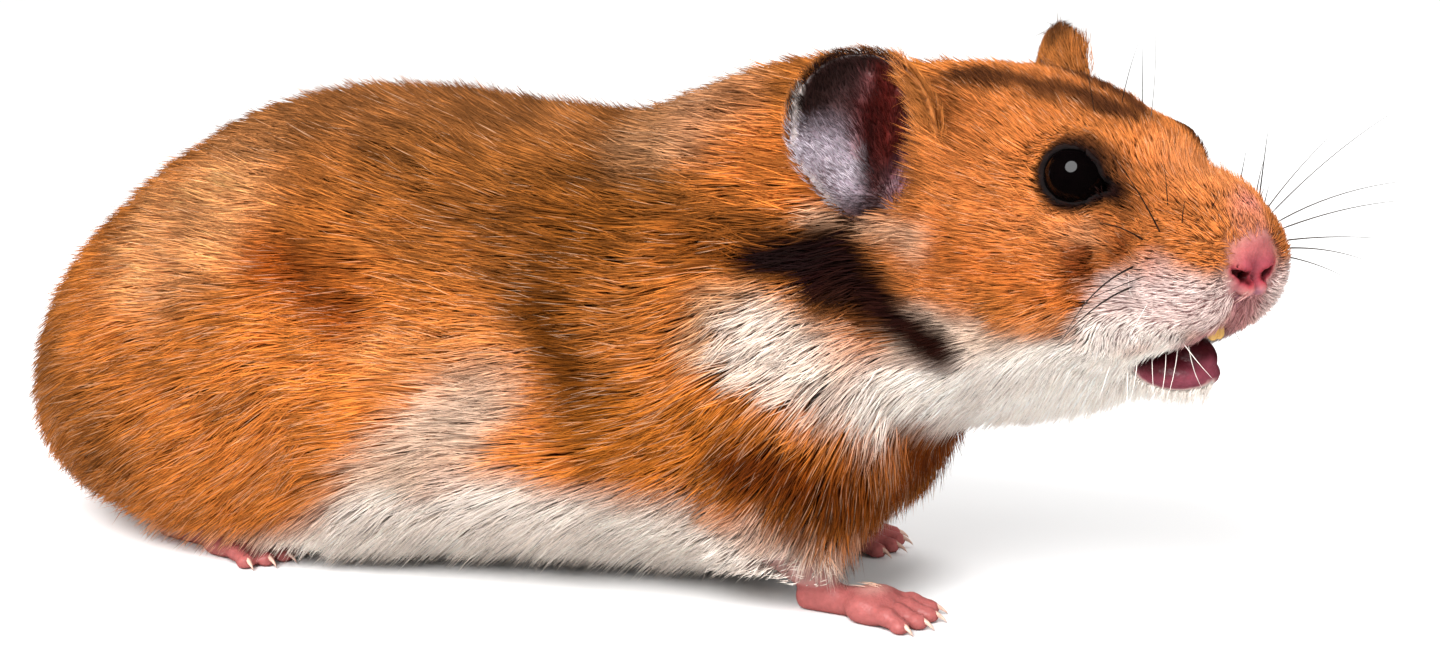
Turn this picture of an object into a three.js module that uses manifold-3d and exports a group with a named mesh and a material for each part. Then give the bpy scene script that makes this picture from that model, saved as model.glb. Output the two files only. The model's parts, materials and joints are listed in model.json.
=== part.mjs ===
// A Syrian hamster at life size, in millimetres.
// +X is the way its body faces, +Y is its left side, +Z is up, and the floor is z = 0.
// The animal stands on all four feet with its head raised, its mouth a little open
// and its face turned to its right.
//
// Every soft part is a blend of rounded forms. A form has the size of the flesh and a
// depth of coat, and the solids reach out to the tips of the coat. The blended animal is
// meshed once for the trunk and once, finer, for the head, and thin cuts part it into
// the pieces that a person would name.

import * as THREE from "three";
import Module from "manifold-3d";

// ------------------------------------------------------------------ driving dimensions

const GAP = 0.3; // width of the cut between neighbouring solids

const TRUNK_CELL = [9.0, 5.4, 5.4]; // mesh cells, long in the direction the trunk runs
const HEAD_CELL = [3.6, 3.6, 3.6];
const MUZZLE_CELL = 2.7; // across the face, where its forms are small
const FOOT_CELL = [1.4, 1.4, 1.3];
const SLIDE_LIMIT = 0.5; // how far a mesh point may slide onto its surface in one step

const ORIGIN_SHIFT = [13.1, 0.0]; // puts x = y = 0 in the middle of the whole animal

const COAT_BODY = 4.5; // depth of the coat, flesh to hair tips
const COAT_BELLY = 5.0;
const COAT_LIMB = 2.2;
const COAT_FACE = 1.0;
const BELLY_CLEARANCE = 1.3; // the flattened coat under the belly, above the floor

const HEAD_AT = [50.1, -9.0, 52.0]; // the point midway between the eyes
const HEAD_YAW = -26; // degrees, turned to the animal's right
const HEAD_PITCH = -2; // degrees, the nose a little down

const EYE_AT = [0.2, 7.8, 0.0]; // left eye in the head's own frame
const EYE_RADIUS = 3.7;

const EAR_LENGTH = 16.5;
const EAR_HALF_WIDTH = 8.2;
const EAR_THICKNESS = 1.6;
const EAR_RIM = 0.8; // its thickness at the rim
const EAR_RINGS = 3;
const EAR_SPOKES = 18;

const TOE_RADIUS = 0.85;
const CLAW_LENGTH = 1.9;
const CLAW_ROOT_RADIUS = 0.5;
const CLAW_TIP_RADIUS = 0.3;
const FORE_FOOT = { length: 14, width: 7.0, toes: 4 };
const HIND_FOOT = { length: 19, width: 7.5, toes: 5 };

// ------------------------------------------------------------------------ rounded forms
// A form is a function of a point [x, y, z] that gives the distance to its surface,
// negative inside. `coat` is taken off the distance, which makes the form that much fatter.

function ball(centre, half, coat = 0) {
  return (p) => {
    const d = [p[0] - centre[0], p[1] - centre[1], p[2] - centre[2]];
    const near = Math.hypot(d[0] / half[0], d[1] / half[1], d[2] / half[2]);
    const slope = Math.hypot(d[0] / half[0] ** 2, d[1] / half[1] ** 2, d[2] / half[2] ** 2);
    return (near * (near - 1)) / Math.max(slope, 1e-9) - coat;
  };
}

function limb(from, to, fromRadius, toRadius, coat = 0) {
  const along = [to[0] - from[0], to[1] - from[1], to[2] - from[2]];
  const lengthSquared = along[0] ** 2 + along[1] ** 2 + along[2] ** 2;
  return (p) => {
    const d = [p[0] - from[0], p[1] - from[1], p[2] - from[2]];
    const dot = d[0] * along[0] + d[1] * along[1] + d[2] * along[2];
    const t = Math.min(Math.max(dot / lengthSquared, 0), 1);
    const away = Math.hypot(d[0] - t * along[0], d[1] - t * along[1], d[2] - t * along[2]);
    return away - (fromRadius + (toRadius - fromRadius) * t) - coat;
  };
}

// Joins two distances with a rounded fillet `k` wide.
function soften(a, b, k) {
  const h = Math.max(k - Math.abs(a - b), 0) / k;
  return Math.min(a, b) - (h * h * k) / 4;
}

// Each item is [form, fillet]; the forms melt into one another in order.
function blend(items) {
  return (p) => {
    let distance = items[0][0](p);
    for (const [form, fillet] of items.slice(1)) {
      distance = soften(distance, form(p), fillet);
    }
    return distance;
  };
}

function mirrored(form) {
  return (p) => form([p[0], Math.abs(p[1]), p[2]]);
}

function grown(form, by) {
  return (p) => form(p) - by;
}

// --------------------------------------------------------------------- the head's frame

const headMatrix = new THREE.Matrix4()
  .makeTranslation(...HEAD_AT)
  .multiply(new THREE.Matrix4().makeRotationZ(THREE.MathUtils.degToRad(HEAD_YAW)))
  .multiply(new THREE.Matrix4().makeRotationY(THREE.MathUtils.degToRad(-HEAD_PITCH)));
const headInverse = headMatrix.clone().invert();

function toHead(p) {
  return new THREE.Vector3(...p).applyMatrix4(headInverse).toArray();
}

function inHeadFrame(form) {
  return (p) => form(toHead(p));
}

// ------------------------------------------------------------------------ the soft body

function trunkForms() {
  const items = [
    [ball([-61.0, 0, 21.5], [24.6, 20.5, 17.8], COAT_BODY), 9], // rump
    [ball([-65, 0, 14.2], [20.8, 19.5, 8.8], 4.4), 9], // seat
    [ball([-50, 0, 28.5], [23.5, 19.5, 20.5], COAT_BODY), 9], // croup
    [ball([-30, 0, 31.0], [30, 19.5, 20.0], COAT_BODY), 12], // back
    [ball([-25, 0, 17.5], [38, 21.5, 13.0], COAT_BELLY), 12], // belly
    [ball([3, 0, 30.4], [25, 18.0, 20.4], COAT_BODY), 12], // ribs
    [ball([4, -1, 20.0], [12, 14.5, 12.5], COAT_BODY), 8], // breast
    [ball([16.5, -1, 44.0], [21, 10.5, 15.0], 3.6), 8], // neck
    [ball([32, -4.0, 32.0], [12, 9.5, 6.8], 4.0), 8], // throat
  ];
  for (const side of [-1, 1]) {
    items.push([ball([-51, 14.5 * side, 17], [19, 6.5, 12.5], 4.0), 8]); // haunch
    items.push([ball([12, 12.5 * side, 22], [11, 6, 14], 4.0), 8]); // shoulder
  }
  return items;
}

function headForms() {
  const middle = [
    [ball([-13, 0, -1.8], [16, 11.5, 9.5], 2.0), 8], // cranium
    [ball([-2.5, 0, -0.9], [8.5, 6.0, 5.8], 1.2), 5], // brow
    [limb([2, 0, -4.0], [12.8, 0, -5.2], 5.8, 4.6, COAT_FACE), 4], // muzzle
    [ball([-7, 0, -16.5], [10, 8.5, 7.5], 2.6), 7], // jaw muscles
    [limb([-4, 0, -18.2], [11.2, 0, -19.1], 6.0, 2.0, 1.3), 3], // chin
  ];
  const pairs = [
    [ball([-8.5, 7.6, -11], [12, 6.6, 9.2], 3.0), 6], // cheek
    [ball([11.8, 4.7, -8.6], [5.7, 4.2, 5.0], 0.9), 3.5], // whisker pad
    [limb([13.6, 2.8, -11.6], [4.5, 5.6, -15.4], 2.5, 3.2, 0.9), 3.5], // upper lip
    [ball([0.2, 5.0, -0.5], [4.6, 3.4, 4.2], 0.9), 2.5], // eye socket
  ];
  return [
    ...middle.map(([form, fillet]) => [inHeadFrame(form), fillet]),
    ...pairs.map(([form, fillet]) => [inHeadFrame(mirrored(form)), fillet]),
  ];
}

// The coat of the belly and the seat lies flat, just clear of the floor.
function clearOfFloor(form) {
  return (p) => -soften(-form(p), p[2] - BELLY_CLEARANCE, 2);
}

const wholeAnimal = clearOfFloor(blend([...trunkForms(), ...headForms()]));

// ------------------------------------------------------------------- from form to solid

const wasm = await Module();
wasm.setup();

// Evenly spaced grid lines from low to high.
function steps(low, high, cell) {
  const count = Math.ceil((high - low) / cell) + 1;
  return Array.from({ length: count }, (_, n) => low + n * cell);
}

function evenGrid(low, high, cell) {
  return low.map((v, i) => steps(v, high[i], cell[i]));
}

// The mesh of a form's surface: a point in each grid cell that the surface crosses,
// slid onto the surface, and a face for each grid edge that it crosses. A form that
// reaches out of the grid is closed off flat at the grid's side.
function formSolid(endless, grid) {
  const form = (p) => {
    const sides = grid.map((lines, i) => {
      const inset = (lines[1] - lines[0]) * 0.6;
      return Math.max(lines[0] + inset - p[i], p[i] - lines[lines.length - 1] + inset);
    });
    return Math.max(endless(p), ...sides);
  };
  const count = grid.map((lines) => lines.length);
  const at = (i, j, k) => [grid[0][i], grid[1][j], grid[2][k]];
  const index = (i, j, k) => (i * count[1] + j) * count[2] + k;
  const value = new Float64Array(count[0] * count[1] * count[2]);
  eachCell(count, (i, j, k) => {
    value[index(i, j, k)] = form(at(i, j, k));
  });

  const points = [];
  const pointOf = new Map();
  eachCell(count.map((n) => n - 1), (i, j, k) => {
    const crossing = cellCrossing(i, j, k, value, index, at);
    if (crossing) {
      pointOf.set(index(i, j, k), points.length / 3);
      points.push(...slideOnto(form, crossing));
    }
  });

  const faces = [];
  for (let axis = 0; axis < 3; axis += 1) {
    eachCell(count, (i, j, k) => addFaces(faces, axis, [i, j, k], { count, value, index, pointOf }));
  }
  return manifoldOf(new Float32Array(points), new Uint32Array(faces));
}

function eachCell(count, visit) {
  for (let i = 0; i < count[0]; i += 1) {
    for (let j = 0; j < count[1]; j += 1) {
      for (let k = 0; k < count[2]; k += 1) {
        visit(i, j, k);
      }
    }
  }
}

// The mean of the points where the surface crosses the twelve edges of a cell.
function cellCrossing(i, j, k, value, index, at) {
  const sum = new THREE.Vector3();
  let crossings = 0;
  for (let corner = 0; corner < 8; corner += 1) {
    const a = [i + (corner & 1), j + ((corner >> 1) & 1), k + ((corner >> 2) & 1)];
    for (let axis = 0; axis < 3; axis += 1) {
      if ((corner >> axis) & 1) continue;
      const b = a.map((n, m) => n + (m === axis ? 1 : 0));
      const va = value[index(...a)];
      const vb = value[index(...b)];
      if (va < 0 === vb < 0) continue;
      const start = new THREE.Vector3(...at(...a));
      sum.add(start.lerp(new THREE.Vector3(...at(...b)), va / (va - vb)));
      crossings += 1;
    }
  }
  return crossings ? sum.divideScalar(crossings).toArray() : null;
}

function slideOnto(form, point) {
  const step = 0.01;
  let p = point;
  for (let round = 0; round < 2; round += 1) {
    const d = form(p);
    const slope = [0, 1, 2].map((n) => {
      const q = [...p];
      q[n] += step;
      return (form(q) - d) / step;
    });
    const steep = Math.max(slope[0] ** 2 + slope[1] ** 2 + slope[2] ** 2, 0.5);
    const move = THREE.MathUtils.clamp(d, -SLIDE_LIMIT, SLIDE_LIMIT);
    p = p.map((v, n) => v - (move * slope[n]) / steep);
  }
  return p;
}

function addFaces(faces, axis, start, { count, value, index, pointOf }) {
  const end = start.map((n, m) => n + (m === axis ? 1 : 0));
  const [u, w] = [(axis + 1) % 3, (axis + 2) % 3];
  const outside = end[axis] >= count[axis] || start[u] === 0 || start[w] === 0;
  if (outside || start[u] === count[u] - 1 || start[w] === count[w] - 1) return;
  const inStart = value[index(...start)] < 0;
  const inEnd = value[index(...end)] < 0;
  if (inStart === inEnd) return;
  const around = [[0, 0], [1, 0], [1, 1], [0, 1]].map(([du, dw]) => {
    const c = [...start];
    c[u] -= du;
    c[w] -= dw;
    return pointOf.get(index(...c));
  });
  const ring = inStart ? around : around.reverse();
  faces.push(ring[0], ring[1], ring[2], ring[0], ring[2], ring[3]);
}

function manifoldOf(vertProperties, triVerts) {
  return new wasm.Manifold(new wasm.Mesh({ numProp: 3, vertProperties, triVerts }));
}

// -------------------------------------------------------------------------- plain solids

// A closed mesh with shared vertices, from a three.js geometry placed by a matrix.
function geometrySolid(geometry, matrix = new THREE.Matrix4()) {
  const placed = geometry.clone().applyMatrix4(matrix);
  const position = placed.getAttribute("position");
  const order = placed.index ? placed.index.array : [...Array(position.count).keys()];
  const keys = new Map();
  const points = [];
  const shared = [];
  for (let n = 0; n < position.count; n += 1) {
    const p = [position.getX(n), position.getY(n), position.getZ(n)];
    const key = p.map((v) => v.toFixed(4)).join(" ");
    if (!keys.has(key)) {
      keys.set(key, points.length / 3);
      points.push(...p);
    }
    shared.push(keys.get(key));
  }
  const faces = [];
  for (let n = 0; n < order.length; n += 3) {
    const face = [shared[order[n]], shared[order[n + 1]], shared[order[n + 2]]];
    if (new Set(face).size === 3) faces.push(...face);
  }
  return manifoldOf(new Float32Array(points), new Uint32Array(faces));
}

function ballSolid(centre, half, segments = 24, frame = new THREE.Matrix4()) {
  const matrix = frame.clone()
    .multiply(new THREE.Matrix4().makeTranslation(...centre))
    .multiply(new THREE.Matrix4().makeScale(...half));
  return geometrySolid(new THREE.SphereGeometry(1, segments, Math.round(segments * 0.66)), matrix);
}

// A limb turned on a lathe: two round ends with a tapering length between them.
function limbSolid(from, to, fromRadius, toRadius, segments = 10) {
  const start = new THREE.Vector3(...from);
  const along = new THREE.Vector3(...to).sub(start);
  const profile = [];
  for (let n = 0; n <= 6; n += 1) {
    const angle = (Math.PI * n) / 6 - Math.PI / 2;
    const [radius, centre] = n < 3 ? [fromRadius, 0] : [toRadius, along.length()];
    const height = centre + radius * Math.sin(angle);
    profile.push(new THREE.Vector2(Math.max(radius * Math.cos(angle), 0), height));
    if (n === 2) profile.push(new THREE.Vector2(fromRadius, 0));
  }
  const turn = new THREE.Quaternion()
    .setFromUnitVectors(new THREE.Vector3(0, 1, 0), along.clone().normalize());
  const matrix = new THREE.Matrix4().compose(start, turn, new THREE.Vector3(1, 1, 1));
  return geometrySolid(new THREE.LatheGeometry(profile, segments), matrix);
}

// A huge block on the positive side of a plane, for cutting.
function beyond(point, normal, frame = new THREE.Matrix4()) {
  const size = 400;
  const direction = new THREE.Vector3(...normal).normalize();
  const turn = new THREE.Quaternion().setFromUnitVectors(new THREE.Vector3(1, 0, 0), direction);
  const centre = new THREE.Vector3(...point).addScaledVector(direction, size / 2);
  const matrix = new THREE.Matrix4().compose(centre, turn, new THREE.Vector3(size, size, size));
  return geometrySolid(new THREE.BoxGeometry(1, 1, 1), frame.clone().multiply(matrix));
}

// Parts a solid by a plane into the side behind it and the side beyond it.
function part(solid, point, normal, frame) {
  const unit = new THREE.Vector3(...normal).normalize();
  const half = unit.clone().multiplyScalar(GAP / 2);
  const start = new THREE.Vector3(...point);
  const far = beyond(start.clone().add(half).toArray(), unit.toArray(), frame);
  const near = beyond(start.clone().sub(half).toArray(), unit.toArray(), frame);
  return { behind: solid.subtract(near), ahead: solid.intersect(far) };
}

const floorBlock = beyond([0, 0, 0], [0, 0, 1]);

// ---------------------------------------------------------------------------- the feet

// A foot lies flat: heel, palm, and toes that fan out, each with a knuckle and a claw.
function footForms({ length, width, toes }, at, yaw) {
  const turn = THREE.MathUtils.degToRad(yaw);
  const forward = new THREE.Vector3(Math.cos(turn), Math.sin(turn), 0);
  const across = new THREE.Vector3(-Math.sin(turn), Math.cos(turn), 0);
  const middle = new THREE.Vector3(...at);
  const place = (f, a, z) => middle.clone().addScaledVector(forward, f)
    .addScaledVector(across, a).setZ(z);
  const palm = place(length * 0.25, 0, 1.5);
  const heel = place(-length * 0.35, 0, 1.4);
  const items = [
    [limb(heel.toArray(), palm.toArray(), 1.65, 1.9, 0.25), 1.5],
    [ball(palm.toArray(), [2.4, width / 2, 1.75], 0.25), 1.5],
  ];
  for (let n = 0; n < toes; n += 1) {
    const fan = (n / (toes - 1) - 0.5) * 2;
    const angle = turn + THREE.MathUtils.degToRad(20 * fan);
    const pointing = new THREE.Vector3(Math.cos(angle), Math.sin(angle), 0);
    const toe = length * (0.36 - 0.07 * fan * fan);
    const root = place(length * 0.25 + 0.8, fan * width * 0.38, 1.2);
    const knuckle = root.clone().addScaledVector(pointing, toe / 2).setZ(1.45);
    const tip = root.clone().addScaledVector(pointing, toe).setZ(0.8);
    const clawTip = tip.clone().addScaledVector(pointing, CLAW_LENGTH + TOE_RADIUS).setZ(0.55);
    items.push([limb(root.toArray(), knuckle.toArray(), 1.05, 0.9, 0.15), 1.0]);
    items.push([limb(knuckle.toArray(), tip.toArray(), 0.9, TOE_RADIUS, 0.15), 0.8]);
    items.push([limb(tip.toArray(), clawTip.toArray(), CLAW_ROOT_RADIUS, CLAW_TIP_RADIUS), 0.2]);
  }
  return items;
}

// Fore limb: shoulder to elbow to wrist.
function armSolid({ shoulder, elbow, wrist }, extra) {
  const upper = limbSolid(shoulder, elbow, 6.3 + COAT_LIMB + extra, 4.0 + COAT_LIMB + extra);
  return upper.add(limbSolid(elbow, wrist, 4.5 + extra, 3.1 + extra));
}

function boxAround(at, reach, top) {
  return [[at[0] - reach, at[1] - reach, -3], [at[0] + reach, at[1] + reach, top]];
}

const LEGS = {
  right: {
    fore: [21.0, -13.0, 0], foreYaw: -6, hind: [-61, -15.5, 0], hindYaw: -14,
    arm: { shoulder: [10, -12.5, 18], elbow: [10, -13.0, 10.5], wrist: [17.0, -13.0, 4.2] },
    shoulder: [9, -19, 21], thigh: [-53, -22, 15],
  },
  left: {
    fore: [8.0, 13.0, 0], foreYaw: 6, hind: [-54, 18.5, 0], hindYaw: 12,
    arm: { shoulder: [5, 12, 19], elbow: [1, 12.5, 10], wrist: [5.0, 12.8, 4.2] },
    shoulder: [7, 19, 21], thigh: [-51, 22, 15],
  },
};
const SHOULDER_HALF = [9.5, 13, 13.5];
const THIGH_HALF = [16.5, 15, 14.5];

function footSolid(foot, at, yaw) {
  const [low, high] = boxAround(at, foot.length + 1, 5.5);
  const grid = evenGrid(low, high, FOOT_CELL);
  return formSolid(blend(footForms(foot, at, yaw)), grid).intersect(floorBlock);
}

// The hollow that the coat leaves around a foot.
function footRoom({ length, width }, at, yaw) {
  const frame = new THREE.Matrix4().makeTranslation(...at)
    .multiply(new THREE.Matrix4().makeRotationZ(THREE.MathUtils.degToRad(yaw)));
  return ballSolid([length * 0.1, 0, 0.4], [length * 0.85, width, 4.8], 8, frame);
}

// ---------------------------------------------------------------------------- the ears

// An ear is a thin bent dish with an egg-shaped outline, broader above. Its front and its
// back are rings of points around the middle, joined at the rim.
function earPoint(ring, angle, face) {
  const half = EAR_LENGTH * 0.58;
  const up = EAR_LENGTH * 0.45 + half * ring * Math.cos(angle);
  const broad = 0.86 + 0.26 * THREE.MathUtils.clamp(up / EAR_LENGTH, -0.3, 1);
  const across = EAR_HALF_WIDTH * broad * ring * Math.sin(angle);
  const dish = 3.6 * (across / EAR_HALF_WIDTH) ** 2 + 1.2 * (ring * Math.cos(angle)) ** 2 - 2;
  const thickness = EAR_THICKNESS + (EAR_RIM - EAR_THICKNESS) * ring ** 2;
  return [up, across, dish + (face * thickness) / 2];
}

function earDish({ at, tip, face }) {
  const up = new THREE.Vector3(...tip).normalize();
  const out = new THREE.Vector3(...face);
  out.addScaledVector(up, -out.dot(up)).normalize();
  const side = new THREE.Vector3().crossVectors(out, up);
  const frame = new THREE.Matrix4().makeBasis(up, side, out).setPosition(...at);
  const place = headMatrix.clone().multiply(frame);

  const rows = [];
  for (let ring = 1; ring <= EAR_RINGS; ring += 1) rows.push([ring / EAR_RINGS, 1]);
  for (let ring = EAR_RINGS; ring >= 1; ring -= 1) rows.push([ring / EAR_RINGS, -1]);
  const points = [new THREE.Vector3(...earPoint(0, 0, 1))];
  for (const [ring, front] of rows) {
    for (let n = 0; n < EAR_SPOKES; n += 1) {
      points.push(new THREE.Vector3(...earPoint(ring, (2 * Math.PI * n) / EAR_SPOKES, front)));
    }
  }
  points.push(new THREE.Vector3(...earPoint(0, 0, -1)));

  const faces = [];
  const pointAt = (row, n) => 1 + row * EAR_SPOKES + (n % EAR_SPOKES);
  for (let n = 0; n < EAR_SPOKES; n += 1) {
    faces.push(0, pointAt(0, n), pointAt(0, n + 1));
    for (let row = 0; row < rows.length - 1; row += 1) {
      faces.push(pointAt(row, n), pointAt(row + 1, n), pointAt(row + 1, n + 1));
      faces.push(pointAt(row, n), pointAt(row + 1, n + 1), pointAt(row, n + 1));
    }
    faces.push(points.length - 1, pointAt(rows.length - 1, n + 1), pointAt(rows.length - 1, n));
  }
  const flat = points.flatMap((p) => p.applyMatrix4(place).toArray());
  return manifoldOf(new Float32Array(flat), new Uint32Array(faces));
}

const EARS = {
  right: { at: [-19.6, -15.2, -5.2], tip: [-0.26, -0.24, 0.93], face: [0.59, -0.80, 0.12] },
  left: { at: [-19.8, 12.1, -3.7], tip: [-0.23, 0.24, 0.94], face: [0.66, 0.72, -0.2] },
};

// ---------------------------------------------------------------------- cutting it apart

const trunkGrid = evenGrid([-98, -33, -4], [50, 33, 66], TRUNK_CELL);
const headGrid = evenGrid([6, -43, 7], [50, 26, 72], HEAD_CELL);
headGrid[0].push(...steps(headGrid[0].at(-1) + MUZZLE_CELL, 76, MUZZLE_CELL));

const trunkMesh = formSolid(wholeAnimal, trunkGrid);
const headMesh = formSolid(wholeAnimal, headGrid);
const coatSurround = formSolid(grown(wholeAnimal, GAP), headGrid);

const RUMP_PLANE = [[-33, 0, 0], [1, 0, 0]];
const CHEST_PLANE = [[-6, 0, 0], [1, 0, 0]];
const NECK_PLANE = [[17, 0, 40], [0.9, -0.1, 0.42]];
const NAPE_PLANE = [[-23.5, 0, 0], [0.97, 0, 0.24]]; // in the head's frame
const MOUTH_AT = [11.3, 0, -17.1];
const MOUTH_HALF = [5.8, 4.1, 1.35];
const MOUTH_SLOPE = 28; // degrees, the mouth falls away towards its corners
const JAW_LENGTH = 12;
const LIP_DROP = 0.4; // how far the jaw's top lies below the middle of the mouth
const NOSE_AT = [15.6, 0, -5.2];
const NOSE_HALF = [2.7, 2.8, 2.5];
const TOOTH_TOP = [13.3, 0.55, -12.2];
const TOOTH_EDGE = [13.9, 0.5, -15.6];
const TOOTH_RADIUS = 0.6;
const TAIL_ROOT = [-82, 0, 16];
const TAIL_TIP = [-93.2, 0, 12];

const mouthFrame = headMatrix.clone()
  .multiply(new THREE.Matrix4().makeTranslation(...MOUTH_AT))
  .multiply(new THREE.Matrix4().makeRotationY(THREE.MathUtils.degToRad(-MOUTH_SLOPE)));

function legSolids() {
  const result = {};
  for (const [side, leg] of Object.entries(LEGS)) {
    const foreRoom = footRoom(FORE_FOOT, leg.fore, leg.foreYaw);
    const hindRoom = footRoom(HIND_FOOT, leg.hind, leg.hindYaw);
    const shoulder = trunkMesh.intersect(ballSolid(leg.shoulder, SHOULDER_HALF, 12));
    const thigh = trunkMesh.intersect(ballSolid(leg.thigh, THIGH_HALF, 14));
    result[side] = {
      fore_foot: footSolid(FORE_FOOT, leg.fore, leg.foreYaw),
      hind_foot: footSolid(HIND_FOOT, leg.hind, leg.hindYaw),
      fore_leg: shoulder.add(armSolid(leg.arm, 0)).subtract(foreRoom),
      thigh: thigh.subtract(hindRoom),
      room: [
        foreRoom,
        hindRoom,
        armSolid(leg.arm, GAP),
        ballSolid(leg.shoulder, SHOULDER_HALF.map((v) => v + GAP), 12),
        ballSolid(leg.thigh, THIGH_HALF.map((v) => v + GAP), 14),
      ],
    };
  }
  return result;
}

function trunkSolids(legs) {
  let trunk = trunkMesh;
  for (const cutter of [...legs.right.room, ...legs.left.room]) {
    trunk = trunk.subtract(cutter);
  }
  const rear = part(trunk, ...RUMP_PLANE);
  const front = part(rear.ahead, ...CHEST_PLANE);
  const chest = part(front.ahead, ...NECK_PLANE).behind;
  return { hindquarters: rear.behind, abdomen: front.behind, chest };
}

function headSolids() {
  const ahead = part(headMesh, ...NECK_PLANE).ahead;
  const nape = part(ahead, ...NAPE_PLANE, headMatrix);
  let head = nape.ahead.subtract(ballSolid([0, 0, 0], MOUTH_HALF, 12, mouthFrame));
  const teeth = incisors(0);
  head = head.subtract(incisors(GAP));
  head = head.subtract(ballSolid(NOSE_AT, NOSE_HALF.map((v) => v + GAP), 12, headMatrix));
  for (const side of [-1, 1]) {
    const eye = [EYE_AT[0], EYE_AT[1] * side, EYE_AT[2]];
    head = head.subtract(ballSolid(eye, Array(3).fill(EYE_RADIUS + GAP), 14, headMatrix));
  }
  const below = part(head, [0, 0, -LIP_DROP], [0, 0, -1], mouthFrame);
  const jaw = part(below.ahead, [-JAW_LENGTH, 0, 0], [1, 0, 0], mouthFrame).ahead;
  const jawRoom = beyond([0, 0, GAP / 2 - LIP_DROP], [0, 0, -1], mouthFrame)
    .intersect(beyond([-JAW_LENGTH - GAP / 2, 0, 0], [1, 0, 0], mouthFrame));
  return {
    neck: nape.behind,
    head: head.subtract(jawRoom),
    lower_jaw: jaw,
    upper_incisors: teeth,
    nose: ballSolid(NOSE_AT, NOSE_HALF, 12, headMatrix),
  };
}

function incisors(extra) {
  const radius = TOOTH_RADIUS + extra;
  const [left, right] = [1, -1].map((side) => {
    const ends = [TOOTH_TOP, TOOTH_EDGE].map(([x, y, z]) => new THREE.Vector3(x, y * side, z)
      .applyMatrix4(headMatrix).toArray());
    return limbSolid(...ends, radius, radius, 6);
  });
  return left.add(right);
}

function earSolid(side) {
  return earDish(EARS[side]).subtract(coatSurround);
}

function tailSolid() {
  const tail = limbSolid(TAIL_ROOT, TAIL_TIP, 2.4, 1.5);
  return tail.subtract(formSolid(grown(wholeAnimal, GAP), trunkGrid));
}

// ---------------------------------------------------------------------------- materials

const MATERIALS = {
  orangeFur: { color: 0xc9682a, roughness: 0.9, metalness: 0 },
  creamFur: { color: 0xe8d8c2, roughness: 0.9, metalness: 0 },
  barePink: { color: 0xd99a92, roughness: 0.6, metalness: 0 },
  nosePink: { color: 0xd9747c, roughness: 0.45, metalness: 0 },
  earSkin: { color: 0x5a4650, roughness: 0.7, metalness: 0 },
  eyeBlack: { color: 0x0a0809, roughness: 0.08, metalness: 0 },
  tooth: { color: 0xe3b45c, roughness: 0.35, metalness: 0 },
};

// ------------------------------------------------------------------------- the scene graph

const hamster = new THREE.Group();
hamster.name = "syrian_hamster";

function addNode(name, solid, material) {
  const largest = solid.decompose().sort((a, b) => b.volume() - a.volume())[0];
  const mesh = largest.getMesh();
  const geometry = new THREE.BufferGeometry();
  geometry.setAttribute("position", new THREE.BufferAttribute(mesh.vertProperties, 3));
  geometry.setIndex(new THREE.BufferAttribute(mesh.triVerts, 1));
  geometry.computeVertexNormals();
  const node = new THREE.Mesh(geometry, new THREE.MeshStandardMaterial(MATERIALS[material]));
  node.name = name;
  node.position.set(ORIGIN_SHIFT[0], ORIGIN_SHIFT[1], 0);
  hamster.add(node);
}

const legs = legSolids();
const trunk = trunkSolids(legs);
const face = headSolids();

addNode("hindquarters", trunk.hindquarters, "orangeFur");
addNode("abdomen", trunk.abdomen, "orangeFur");
addNode("chest", trunk.chest, "orangeFur");
addNode("tail", tailSolid(), "barePink");
addNode("neck", face.neck, "orangeFur");
addNode("head", face.head, "orangeFur");
addNode("lower_jaw", face.lower_jaw, "creamFur");
addNode("upper_incisors", face.upper_incisors, "tooth");
addNode("nose", face.nose, "nosePink");
for (const side of ["right", "left"]) {
  const sign = side === "left" ? 1 : -1;
  const eye = [EYE_AT[0], EYE_AT[1] * sign, EYE_AT[2]];
  addNode(`eye_${side}`, ballSolid(eye, Array(3).fill(EYE_RADIUS), 14, headMatrix), "eyeBlack");
  addNode(`ear_${side}`, earSolid(side), "earSkin");
  addNode(`fore_leg_${side}`, legs[side].fore_leg, "orangeFur");
  addNode(`fore_foot_${side}`, legs[side].fore_foot, "barePink");
  addNode(`thigh_${side}`, legs[side].thigh, "orangeFur");
  addNode(`hind_foot_${side}`, legs[side].hind_foot, "barePink");
}

export default hamster;
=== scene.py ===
# %% [markdown]
# # A Syrian hamster, life size
# The animal stands on all fours with its head turned to its right. Its solids are already
# made, in metres, in one frame: +X is the way the body faces, +Y its left, +Z up, and the
# floor is z = 0. This lesson dresses them: one skin, two eyes, teeth, claws, whiskers and
# a coat. The coat is most of the work, because on a hamster almost nothing else shows.

# %% Load the frame
import json
import math

import bpy
import numpy as np
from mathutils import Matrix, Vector, kdtree

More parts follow.
